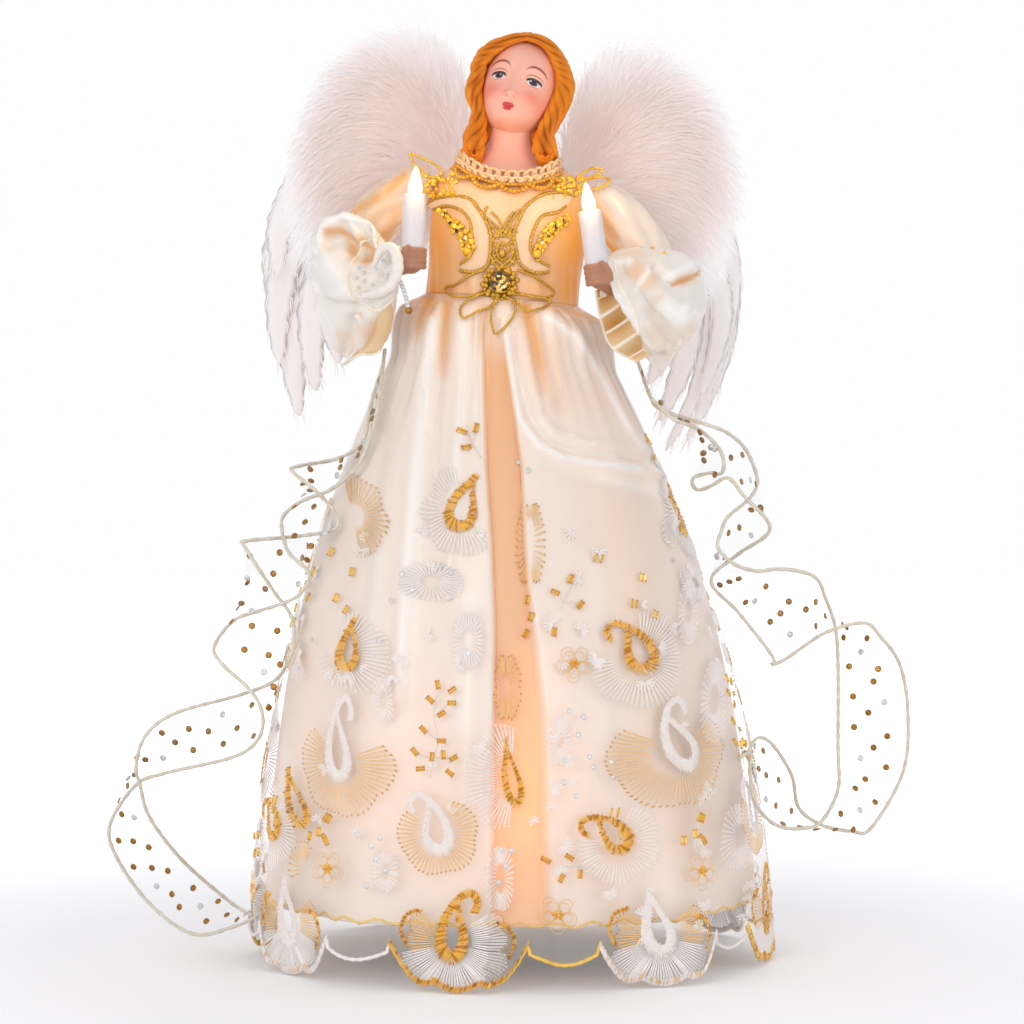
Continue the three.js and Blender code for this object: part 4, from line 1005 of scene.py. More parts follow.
stems = [  # fine lines that carry the beads
    [(482, 459), (472, 444), (466, 431)], [(472, 444), (476, 428)], [(429, 778), (437, 741), (433, 714), (438, 686)],
    [(437, 741), (424, 731)], [(433, 760), (414, 753)], [(436, 758), (453, 758)], [(434, 716), (450, 703)],
    [(560, 610), (572, 586)], [(560, 600), (578, 604)], [(596, 868), (562, 866)], [(690, 848), (697, 820)],
]
blossoms = [(574, 664), (558, 915), (699, 871), (328, 869)]
dots = [
    (448, 598), (469, 653), (360, 834), (372, 846), (380, 838), (376, 860), (384, 871), (368, 886), (569, 711),
    (584, 717), (578, 735), (590, 757), (612, 762), (565, 760), (594, 767), (564, 782), (615, 778), (576, 796),
    (502, 852), (506, 868), (498, 884), (512, 852), (440, 566), (452, 572), (412, 590), (404, 574), (520, 462),
    (528, 470), (380, 640), (392, 600), (300, 668), (312, 640), (706, 690), (714, 660), (724, 740), (690, 600),
    (676, 560), (664, 500), (722, 800), (736, 830),
]


lobeView = {"foot": 995, "middle": 466, "pixel": 0.303}  # where the front scallop lies in the photograph


def lobePlane(middle):  # pixels about a scallop's foot to angle and height
    def lay(px, py):
        height = (lobeView["foot"] - py) * lobeView["pixel"]
        reach = skirtRadius(skirtShare(height))
        return middle + (px - lobeView["middle"]) * lobeView["pixel"] / reach, height
    return lay


def sewLobes():  # a paisley in each scallop, with rays down to the corded edge
    def foot(angle):
        return lobeView["foot"] - (hemEdge(angle) + 0.6) / lobeView["pixel"]
    for k in range(skirt["lobes"]):
        lay = lobePlane(skirt["firstLobe"] + k * tau / skirt["lobes"])
        gold = k % 2 == 0
        how = {"copies": False, "foot": foot, "gap": 3.6}
        sewFan("whiteThread", (462, 944), (18, 20), (60, 56), 196, 344, lay, "silverThread", 5, **how)
        sewFan("paleGold", (462, 944), (18, 20), (50, 46), 140, 196, lay, "deepGold", 2, **how)
        rays = "paleGold" if k % 4 else "whiteThread"
        sewFan(rays, (464, 942), (18, 20), (54, 46), 344, 400, lay, "deepGold", 2, **how)
        thread, turn, hook = ("goldThread", 8, 1) if gold else ("whiteThread", -10, 0)
        sewPaisley(thread, (462, 943), 14, 1.3, turn, hook, 5.6, lay, False)
        for line in ([(412, 950), (406, 934), (414, 918), (430, 914)], [(500, 924), (516, 930), (525, 944),
                                                                        (518, 962)]):
            sewBand("goldThread", line, [1.8, 2.2, 2.2, 1.6], lay, width=0.45, lift=0.5, copies=False)
            sewSpecks(line, [2, 2], 26, [("deepGold", 0.6), ("paleGold", 0.4)], lay, False)
        edge = skirt["firstLobe"] + (k + np.linspace(-1, 1, 120) / 3) * tau / skirt["lobes"]
        low = np.column_stack([edge - 0.004, hemEdge(edge) + 0.1])
        high = low + np.column_stack([np.full(120, 0.009), chance.uniform(1.5, 2.3, 120)])
        sewBlend("goldEdge" if gold else "whiteEdge", low, high, lambda angle, height: (angle, height),
                 width=0.5, lift=0.62, copies=False)


def sewSprays():  # small white lace sprays between the large figures
    for _ in range(sewing["sprays"]):
        py = chance.uniform(520, 940)
        px = chance.uniform(lerp(352, 282, (py - 520) / 420), lerp(672, 764, (py - 520) / 420))
        start = chance.uniform(0, 360)
        if not 480 < px < 535:  # none in the pleat
            reach = np.full(2, chance.uniform(5, 10))
            sewFan("whiteThread", (px, py), (1, 1), reach, start, start + 200, layRound((px, py)), None, 1, gap=3.4)


def makeEmbroidery():
    for thread, middle, size, tall, turn, hook, band in paisleys:
        sewPaisley(thread, middle, size, tall, turn, hook, band, layRound(middle))
    for thread, middle, inner, outer, start, stop, knots in fans:
        sewFan(thread, middle, inner, outer, start, stop, layRound(middle), knots)
    sewBars(bars, underPixel)
    for stem in stems:
        sewRun("silverThread", stem, underPixel, 4.0, width=0.3, lift=0.25)
    for spot in blossoms:
        for size in (13, 17):
            sewFlower(spot, size, underPixel)
    sewLobes()
    sewSprays()
    names = {"goldThread": "goldEmbroidery", "deepGold": "deepGoldEmbroidery", "paleGold": "paleGoldEmbroidery",
             "whiteThread": "whiteEmbroidery", "silverThread": "silverEmbroidery", "bugle": "bugleBeads"}
    for thread, name in names.items():
        a, b, width, lift = (np.concatenate(part) for part in zip(*sewn[thread]))
        middle = (a + b) / 2
        normals = skirtNormal(middle[:, 0], middle[:, 1], sewing["away"])
        rows = []
        for share in (0, 0.2, 0.5, 0.8, 1):
            spot = lerp(a, b, share)
            rows.append(skirtAt(spot[:, 0], spot[:, 1], sewing["away"]) + normals * 0.06)
        piece(name, threads(rows, normals, width, lift), thread, "stand", shade=False)

    bag = Bag()
    angle, height = underPixel(*np.array(dots, float).T)
    for turn in (0, pi):
        for a, h in zip(angle + turn, height):
            addDisc(bag, skirtAt(a, h, sewing["away"]), skirtNormal(a, h, sewing["away"]), 0.85, 0.2)
    piece("skirtSequins", bag, "silverSequin", "stand")

    gold, white = Bag(), Bag()
    pitch = tau / skirt["lobes"]
    for k in range(skirt["lobes"]):
        middle = skirt["firstLobe"] + k * pitch
        edge = middle + np.linspace(-pitch / 3, pitch / 3, 150)
        path = skirtAt(edge, hemEdge(edge) + 0.55, skirt["sheerAway"])
        (gold if k % 2 == 0 else white).tube(path, 0.55 + 0.1 * sin(np.arange(150) * 1.1), 7)
        edge = middle + np.linspace(pitch / 3, pitch * 2 / 3, 30)
        path = skirtAt(edge, hemEdge(edge) + 0.5, skirt["sheerAway"])
        (gold if k % 4 == 0 else white).tube(path, 0.6 + 0.12 * sin(np.arange(30) * 1.9), 7)
    turn = np.linspace(0, tau, 720, endpoint=False)
    path = skirtAt(turn, skirt["satinHem"] + 0.8 + 0.7 * sin(turn * 44), 0.3 - skirt["satinIn"])
    gold.tube(path, 0.55 + 0.16 * sin(np.arange(len(turn)) * 1.7), 6, True)
    piece("hemCordGold", gold, "goldThread", "stand")
    piece("hemCordWhite", white, "whiteThread", "stand")


makeEmbroidery()
print("embroidery ready")


# Cone, petticoat and the lamps under the skirt
worn = {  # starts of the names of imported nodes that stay, and their finish
    "tree_cone": "card", "torso_core": "foam", "lamp_lead": "lead", "lead_gland": "socket",
    "skirt_lamp_socket": "socket", "skirt_lamp_bulb": "lampGlass", "candle_socket": "socket", "arm_wire": "wire",
    "wing_wire": "wire", "wing_card": "felt", "wing_pad": "felt",
}
petticoat = {"profile": [(24.6, 165), (48.4, 137), (60.6, 87), (71.3, 24)], "sides": 120, "wave": 0.5}


def makeUnderneath():
    path = curveThrough([(r, 0, z) for r, z in petticoat["profile"]], 40)
    turn = around(petticoat["sides"])
    share = np.linspace(0, 1, len(path))[:, None]
    reach = path[:, 0][:, None] - 0.5 + petticoat["wave"] * share * sin(24 * turn)
    points = np.stack([reach * cos(turn), reach * sin(turn), np.broadcast_to(path[:, 2][:, None], reach.shape)], -1)
    net = piece("stiffPetticoat", (points, gridFaces(len(path), petticoat["sides"], True, True)),
                "net", "stand", ["petticoat"])
    thicken(net, 0.4)
    for node in frame["nodes"]:
        for start, finish in worn.items():
            if node.startswith(start):
                wear(node, finish)


makeUnderneath()
print("underneath ready")


# Bodice: levels of half-width, half-depth, height above the waist and dip of the neckline
bodice = {
    "levels": [(25, 17.5, -0.5, 0), (24.8, 17.8, 8, 0), (25.6, 19, 20, 0), (25.6, 18.5, 30, 0), (25.2, 17, 37, 0),
               (21.2, 14.7, 42, 1.5), (16.5, 12.5, 45, 3)],
    "rows": 46, "sides": 132, "wall": 0.5,
}
paintedBodiceLight = [  # painted lamplight and shade: pixel, reach across and down, strength
    (428, 244, 28, 70, 1.0), (574, 240, 28, 66, 0.95), (592, 215, 16, 36, 1.0), (420, 205, 16, 30, 0.9),
    (548, 285, 26, 12, 0.5), (452, 288, 24, 10, 0.35), (500, 240, 90, 80, 0.22), (560, 200, 26, 20, 0.6),
    (574, 284, 20, 30, 1.0), (434, 290, 20, 24, 0.9),
]


def bodiceLevel(height):
    table = np.array(bodice["levels"], float)
    return [np.interp(height, table[:, 2], table[:, k]) for k in (0, 1, 3)]


def dressFront(x, height):  # depth of the dress under a trim
    halfWidth, halfDepth, _ = bodiceLevel(np.maximum(height, 0))
    chest = -halfDepth * np.sqrt(np.maximum(0.02, 1 - (x / halfWidth) ** 2))
    share = np.maximum(0, -np.asarray(height, float) / stance["waist"])
    wide = skirtRadius(share) + 1.6
    wide = wide + waistPuff(share, np.clip(x / wide, -1, 1))
    lap = -wide * skirtDepth(share) * np.sqrt(np.maximum(0.02, 1 - (x / wide) ** 2))
    return np.minimum(chest, lap * lerp(0.8, 1, smooth(-np.asarray(height, float), -3, 0)))


def onDress(spots, lift):  # row points on the dress behind pixels
    px, py = np.asarray(spots, float)[:, :2].T
    y = np.full(px.shape, -18.0)
    for _ in range(16):
        x, _, z = toFigure(seenAt(px, py, y)).T
        y = dressFront(x, z) - lift
    return seenAt(px, py, y)


def spotMask(points, spots):
    px, py = pixelOf(points)
    total = np.zeros(px.shape)
    for x, y, wide, tall, strength in spots:
        total = np.maximum(total, strength * np.exp(-(((px - x) / wide) ** 2) - ((py - y) / tall) ** 2))
    return total


def makeBodice():
    fine = curveThrough(bodice["levels"], bodice["rows"])
    turn = around(bodice["sides"])
    wide, deep, high, dip = (fine[:, k][:, None] for k in range(4))
    pull = 0.25 * sin(22 * turn + 0.2 * high) * (1 - smooth(high, 4, 26))
    fall = np.maximum(0, -sin(turn)) ** 1.5
    deep = deep + np.interp(high, [36, 42, 45], [0, 1.2, 3.0]) * fall
    high = high + dip * np.maximum(0, sin(turn)) - np.interp(high, [34, 37, 42, 45], [0, 1.6, 5.4, 6.6]) * fall
    points = toRow(np.stack([(wide - 0.3 + pull) * cos(turn), (deep - 0.3 + pull) * sin(turn), high], -1))
    front = points[..., 1] < 0
    # painted lamplight and shade on the front, with a faint painted glow
    paintedWarmLight = spotMask(points, paintedBodiceLight) * front
    cloth = piece("satinBodice", (points, gridFaces(bodice["rows"], bodice["sides"], True, True)),
                  "bodiceSatin", "stand", ["bodice"],
                  masks={"paintedWarmLight": paintedWarmLight, "glow": 0.12 * paintedWarmLight})
    thicken(cloth, bodice["wall"], -1)


# Trims of the bodice, traced on the photograph
crescents = {
    "left": {"outer": [(424, 206), (435, 199), (456, 196), (470, 199), (478.5, 209), (487, 223), (491, 237),
                       (490, 254), (487, 266), (478.5, 270.6), (470, 272), (459, 270.6)],
             "inner": [(434, 209), (446, 206), (460, 210), (469, 220), (471.5, 234), (473, 248), (467, 259),
                       (460, 264)],
             "sequins": [[(439, 210), (446, 212), (459, 224), (470, 234), (473, 245), (470, 255)],
                         [(441, 214), (445, 220), (450.5, 228.5), (459, 241), (463, 251), (466, 256)]],
             "bead": (467, 251)},
    "right": {"outer": [(575, 196), (560, 192), (541.7, 195), (526, 206), (519, 220), (513.6, 234), (516, 248),
                        (519, 262), (526, 269), (536, 273), (548.7, 272)],
              "inner": [(566, 206), (558.5, 212), (543, 216), (534.6, 228.5), (530.4, 245), (533, 254), (540, 261),
                        (549, 266)],
              "sequins": [[(566, 216), (558, 219), (546, 228), (538, 240), (535, 257)],
                          [(569, 222), (560, 230), (552, 238), (543, 250), (537, 260)]],
              "bead": (537, 254)},
}
petals = [
    [(484, 270), (470, 275), (455, 284.6), (445, 288), (453, 296), (470, 296), (483, 291)],
    [(486, 292), (470, 298.7), (461.7, 305.7), (460, 312.7), (464.5, 317.6), (478.5, 311), (491, 305.7), (498, 296)],
    [(499, 298), (492.6, 307), (491, 318), (492.6, 328), (495.4, 333.7), (503.8, 328), (513.6, 315.5), (515, 304),
     (507, 297)],
    [(513, 294), (534.6, 296), (546, 298.7), (550, 303), (540, 308.5), (526, 310.6), (514, 299)],
    [(517, 270), (533, 276), (546, 284.6), (554, 291.7), (548.7, 297), (533, 297), (515, 291)],
]
netLines = [
    [(487, 206), (484, 214.5), (491, 221.5), (498, 228.5), (502, 236)],
    [(519, 209), (515, 216), (512, 220), (508, 228.5), (503, 236)],
    [(503, 236), (495, 237), (490, 244), (491, 256.6), (497, 266), (508, 266), (515, 256.6), (515, 244), (510, 237),
     (503, 236)],
    [(491, 212), (498, 219), (503, 227), (508, 219), (514, 212)],
    [(496, 248), (502, 242), (508, 248), (506, 258), (499, 258), (496, 248)],
    [(490, 226), (497, 232), (493, 240), (498, 246), (493, 254), (499, 263)],
    [(516, 226), (509, 232), (513, 240), (508, 246), (513, 254), (507, 263)],
    [(488, 232), (496, 236), (503, 231), (511, 236), (518, 231)],
    [(491, 264), (497, 260), (503, 265), (509, 260), (515, 264)],
]
shoulderLines = {
    "left": [[(410, 153), (412.6, 162.6), (418, 168), (425, 176.6), (436, 178), (442, 172), (434, 164), (422, 158),
              (410, 153)],
             [(426, 186), (434, 181), (446, 182), (450, 190), (440, 196), (429, 194), (426, 186)]],
    "right": [[(577, 178), (584, 172), (594, 168), (602, 169.6), (597, 174.5), (586, 178.5), (577, 178)],
              [(577, 187), (587, 180), (601, 177), (610, 181), (602, 188), (588, 191), (577, 187)]],
}
shoulderSequins = {"left": (422, 174, 456, 199), "right": (552, 178, 582, 199)}


def beadCord(bag, path, radius, pitch=1.25):  # cord with the swell of beads strung on it
    length = lengthOf(path)
    count = max(8, int(length / 0.32))
    fine = curveThrough(path, count)
    swell = 1 + 0.22 * sin(np.linspace(0, length, count) / pitch * tau)
    bag.tube(fine, radius * swell, 7)


def scatterDiscs(bag, middles, radius):
    for middle in middles:
        lean = np.array([chance.normal(0, 0.25), -1, chance.normal(0, 0.25)])
        addDisc(bag, middle, lean, radius * chance.uniform(0.8, 1.15), 0.3, 9)


def makeTrims():
    for side, lines in crescents.items():
        outer, inner = curveThrough(lines["outer"], 40), curveThrough(lines["inner"], 40)
        shares = [k / 6 for k in range(7)]
        rows = [onDress(lerp(outer, inner, share), 0.5 + 0.45 * math.sin(share * pi)) for share in shares]
        fill = piece(f"crescentSatin_{side}", (np.vstack(rows), gridFaces(7, 40)), "trimSatin", "stand",
                     [f"crescent_{side}"])
        thicken(fill, 0.25)
        cords = Bag()
        for line in ("outer", "inner"):
            beadCord(cords, onDress(curveThrough(lines[line], 30), 1.0), 0.5)
        piece(f"crescentCord_{side}", cords, "oldGold", "stand")
        sequins = Bag()
        first, second = (curveThrough(line, 22) for line in lines["sequins"])
        for share in (0.1, 0.5, 0.9):
            spots = lerp(first, second, share) + chance.normal(0, 0.7, (22, 2))
            scatterDiscs(sequins, onDress(spots[:: 1 if share == 0.5 else 2], 1.5), 0.95)
        sequins.add(*ballAt(onDress([lines["bead"]], 2.2)[0], [1.5, 1.2, 1.5]))
        piece(f"crescentSequins_{side}", sequins, "goldBead", "stand")
        stones = Bag()
        for spot in onDress(lerp(first, second, 0.5)[[2, 6, 10, 14, 18, 20]], 1.9):
            stones.add(*ballAt(spot, [1.15, 0.8, 1.15], 6, 8))
        piece(f"crescentStones_{side}", stones, "gem", "stand", shade=False)

    net = Bag()
    for line in netLines:
        beadCord(net, onDress(curveThrough(line, 24), 0.7), 0.42, 1.1)
    net.add(*ballAt(onDress([(502, 253)], 1.2)[0], [1.1, 0.9, 1.6]))
    spots = np.column_stack([chance.uniform(492, 514, 30), chance.uniform(222, 268, 30)])
    scatterDiscs(net, onDress(spots, 0.6), 0.62)
    piece("netColumn", net, "oldGold", "stand", ["net_column"])

    flower = Bag()
    for line in petals:
        beadCord(flower, onDress(curveThrough(line, 34), 1.1), 0.43)
    middle = onDress([(500, 283)], 1.2)[0]
    for k in range(30):
        a = k / 15 * tau + 0.2 * (k // 15) + chance.normal(0, 0.05)
        out, size = 4.4 + 1.0 * (k // 15) + chance.normal(0, 0.12), chance.uniform(0.75, 1.05)
        spot = middle + [out * math.cos(a), 0.3 * (k // 15), out * math.sin(a)]
        flower.add(*ballAt(spot, [size, size * 0.9, size], 8, 10))
    piece("flowerCord", flower, "oldGold", "stand", ["waist_flower"])
    gem = ballAt(middle + [0, -0.5, 0], [3.8, 2.6, 3.8], 7, 10)
    piece("waistGem", gem, "gem", "stand", ["waist_gem"], shade=False)


# Collar braid: cream loops over hanging scallops of gold beads
collar = {"halfWidth": 16.6, "halfDepth": 13.2, "height": 45.6, "dip": 7.0, "shift": -1.6, "loops": 34, "scallops": 11}


def makeCollar():
    def at(turn, out, up):
        x = (collar["halfWidth"] + out) * cos(turn) + collar["shift"]
        z = collar["height"] + up - collar["dip"] * np.maximum(0, -sin(turn)) ** 1.4
        ring = (collar["halfDepth"] + out) * sin(turn)
        chest = lerp(ring, dressFront(x, z - 1.5) * 0.985 - out, smooth(-sin(turn), 0, 0.5))
        y = np.where(sin(turn) < 0, chest, ring)
        return toRow(np.stack([x, y, z], -1))
    bend = np.linspace(0, tau, 26, endpoint=False)
    cream, gold = Bag(), Bag()
    for k in range(collar["loops"]):
        middle = k / collar["loops"] * tau
        upper = at(middle + 0.125 * cos(bend), 0.4 * sin(bend + k % 2 * pi), 0.9 + 1.8 * sin(bend))
        lower = at(middle + 0.09 + 0.11 * cos(bend), 0.8 + 0.3 * sin(bend), -0.7 + 1.1 * sin(bend))
        cream.tube(upper, 0.55, 7, True).tube(lower, 0.5, 7, True)
    piece("collarLoops", cream, "collarCord", "stand", ["collar_braid"])
    count = collar["scallops"] * 8
    for k in range(count):
        middle = np.array(k / count * tau)
        hang = abs(math.sin(middle * collar["scallops"] / 2))
        gold.add(*ballAt(at(middle, 1.2 + 1.2 * hang, -2.4 - 2.0 * hang), [0.9] * 3, 7, 9))
        gold.add(*ballAt(at(middle + 0.03, 1.0, -2.0), [0.75] * 3, 7, 9))
    piece("collarBeads", gold, "darkBead", "stand")


makeBodice()
makeTrims()
makeCollar()
print("bodice ready")


# Head: a cast face with painted marks, hair with rolled locks
head = {
    "height": 72, "lift": radians(-12), "roll": radians(9.5), "turn": radians(-4), "eyes": -2.8,
    "glance": radians(-3.5),
}
faceLevels = [  # height from the eyes, half-width, depth in front, depth behind
    (-15.8, 1.2, 7.0, 2), (-15.4, 3.2, 9.8, 4), (-14.5, 5.4, 11.8, 6), (-12.6, 7.6, 12.8, 8), (-9.8, 9.6, 13.0, 9),
    (-6, 11.2, 13.2, 10), (-1.5, 12.2, 13.1, 10), (3, 12.4, 13.2, 10), (7, 11.9, 13.0, 10), (10, 11.0, 12.0, 9),
    (12.5, 9.6, 9.8, 8), (14.8, 6.6, 6.6, 6), (16.2, 2, 2.6, 2),
]
neckLevels = [  # half-width, half-depth, height above the waist
    (13.2, 14.6, 37.5), (13.6, 14.2, 40.4), (13.2, 12.6, 43), (11.6, 10.4, 45.6), (9.2, 8.6, 48.5),
    (7.8, 7.4, 52.5), (7.4, 7.2, 58), (7.3, 7.6, 64), (6.6, 7.4, 67),
]
faceBumps = [  # across, on both sides, height from the eyes, reach across and up, rise
    (0, 0.5, 1.2, 3.0, 0.8), (0, -3.5, 1.3, 2.4, 1.3), (0, -5.9, 1.5, 1.3, 1.8), (1.7, -6.3, 0.9, 0.9, 0.8),
    (6.0, 0.2, 2.8, 1.7, -1.0), (6.0, 0, 2.0, 1.3, 0.9), (5.6, 4.6, 3.2, 1.2, 0.4), (0, -9.5, 1.9, 0.6, 0.8),
    (0, -11.2, 1.6, 0.7, 0.9), (0, -10.3, 2.2, 0.35, -0.4), (0, -13.6, 2.6, 1.6, 1.0), (6.4, -5.4, 3.2, 2.8, 0.7),
    (0, -8.2, 0.5, 0.7, -0.3),
]
faceMarks = [  # colour, across, on both sides, height from the eyes, half-width, half-height, turn, softness, strength
    ((238, 120, 98), 6.6, -5.2, 3.4, 2.5, 0, 0.9, 0.6), ((150, 78, 60), 6.1, 2.9, 3.4, 2.7, -0.1, 0.06, 1),
    ((248, 184, 162), 6.1, 2.3, 3.6, 2.45, -0.1, 0.08, 1), ((190, 120, 104), 6.0, 0.9, 3.0, 1.8, 0, 0.1, 0.9),
    ((246, 190, 172), 6.0, 0.5, 3.1, 1.7, 0, 0.1, 1), ((58, 34, 34), 6.0, 0.4, 2.6, 1.25, 0, 0.08, 1),
    ((228, 218, 224), 6.0, -0.2, 2.3, 0.8, 0, 0.12, 1), ((58, 78, 82), 5.8, -0.05, 1.35, 0.95, 0, 0.12, 1),
    ((8, 8, 12), 5.8, 0.1, 1.0, 0.8, 0, 0.14, 1), ((250, 250, 250), 5.2, 0.45, 0.22, 0.22, 0, 0.2, 1),
    # the white dot 5.2 across is a painted highlight on each eye
    ((212, 138, 122), 6.0, -1.35, 1.9, 0.2, 0, 0.5, 0.7), ((206, 124, 102), 1.3, -6.9, 0.45, 0.28, 0, 0.5, 0.6),
    ((212, 58, 50), 0.8, -9.6, 1.2, 0.7, -0.15, 0.2, 1), ((224, 66, 58), 0, -11.0, 1.4, 0.8, 0, 0.2, 1),
    ((150, 30, 32), 0, -10.25, 1.6, 0.16, 0, 0.5, 0.8),
]


def spin(points, angle, axis):
    first, second = [(1, 2), (2, 0), (0, 1)][axis]
    p = np.array(points, float)
    a, b = p[..., first].copy(), p[..., second].copy()
    p[..., first] = a * math.cos(angle) - b * math.sin(angle)
    p[..., second] = a * math.sin(angle) + b * math.cos(angle)
    return p


def fromHead(points):  # head's own frame to row
    p = spin(spin(spin(points, head["lift"], 0), head["roll"], 1), head["turn"], 2)
    return toRow(p + [0, 0, head["height"]])


def faceFinish():
    under = {"Coat Weight": 0.1, "Subsurface Weight": 0.08, "Subsurface Scale": 0.002}
    material, tree, inputs = startMaterial("painted face", **under)
    colour = paint(tree, inputs, (250, 188, 166), (242, 174, 150), 90.0, 0.46)
    place = addNode(tree, "ShaderNodeAttribute", attribute_name="facePlace").outputs["Vector"]
    for tone, across, up, wide, tall, turn, soft, strength in faceMarks:
        for side in (-1, 1) if across else (1,):
            shift = -0.2 if across == 5.2 else 0  # the painted glint, a highlight, lies on one side of both eyes
            oval = {"Half Width": wide, "Half Height": tall, "Turn": side * turn, "Soft": soft}
            mask = placeGroup(tree, mark, Place=place, Middle=(side * across + shift, 0, up), **oval)["Mask"]
            colour = blendColour(tree, sums(tree, "MULTIPLY", mask, strength), colour, rgb(*tone))
    tree.links.new(colour, inputs["Base Color"])
    roughen(tree, inputs, grain, 700.0, 0.02)
    return material


def makeFace():
    rows, sides = 130, 150
    up, half, ahead, behind = (level[:, None] for level in curveThrough(faceLevels, rows).T)
    turn = around(sides)
    up = np.broadcast_to(up, (rows, sides))
    x = half * sin(turn)
    facing = smooth(cos(turn), -0.05, 0.35)
    y = -np.where(cos(turn) > 0, ahead, behind) * cos(turn)
    for across, high, wide, tall, rise in faceBumps:
        for side in (1, -1) if across else (1,):
            y = y - rise * np.exp(-(((x - side * across) / wide) ** 2) - ((up - high) / tall) ** 2) * facing
    points = np.stack([x, y, up], -1)
    place = np.stack([x, np.zeros_like(x), np.where(facing > 0.2, up, 60)], -1)
    points = spin(points, head["glance"], 2) + [0, 0, head["eyes"]]
    bag = Bag()
    shell = fromHead(points).reshape(-1, 3)
    bag.add(shell, cappedFaces(rows, sides))
    rows, sides = 40, 60
    wide, deep, high = (level[:, None] for level in curveThrough(neckLevels, rows).T)
    turn = around(sides)
    aside = -2.0 * (1 - smooth(high, 54, 66))
    depth = np.where(sin(turn) < 0, deep, np.minimum(9.6, deep))
    column = np.stack([wide * cos(turn) + aside, depth * sin(turn) - 1.2 * smooth(high, 46, 64),
                       np.broadcast_to(high, (rows, sides))], -1)
    bag.add(toRow(column), cappedFaces(rows, sides))
    marks = np.vstack([place.reshape(-1, 3), np.full((rows * sides, 3), 60.0)])
    finishes["face"] = faceFinish()
    piece("castFace", bag, "face", "stand", ["head_casting"], masks={"facePlace": marks})


hairLocks = {  # pixels down the middle of each side lock, with half-width and depth
    "left": [(529, 36.5, 3.4, -7.4), (516, 38, 5, -7.8), (502, 43, 6.8, -8.2), (489, 51, 8, -7.8), (480, 62, 8, -6.8),
             (477, 77, 8, -6.2), (473.5, 92, 9.5, -6.2), (478, 109, 7.5, -6.6), (478, 124, 9.5, -7.4),
             (474.5, 140, 12, -8.2), (474.5, 152, 11, -8.8)],
    "right": [(525, 36.5, 3.4, -7.4), (538, 39, 5, -7.8), (548, 45, 6.4, -8.0), (555, 54, 7.5, -7.4),
              (562, 69, 9, -6.6), (565, 88, 11, -5.8), (559.5, 105, 11, -6.0), (551, 122, 10, -7.0),
              (545, 134, 9.5, -8.0), (544.5, 146, 12.5, -8.8), (545, 154, 11, -9.0)],
}
hairFill = {
    "left": [(491, 104), (490, 120), (488, 138), (487, 156)],
    "right": [(540, 112), (536, 128), (533, 142), (532, 156)],
}


def hairFinish():
    material, tree, inputs = startMaterial("painted hair", **{"Specular IOR Level": 0.2})
    gold = paint(tree, inputs, (240, 162, 44), (218, 102, 4), 110.0, 0.46, 0.2)
    # painted shade: dark brown where the grooves and hollows are marked
    tree.links.new(blendColour(tree, maskOf(tree, "creaseShade"), gold, rgb(140, 56, 4)), inputs["Base Color"])
    roughen(tree, inputs, grain, 600.0, 0.06)
    return material


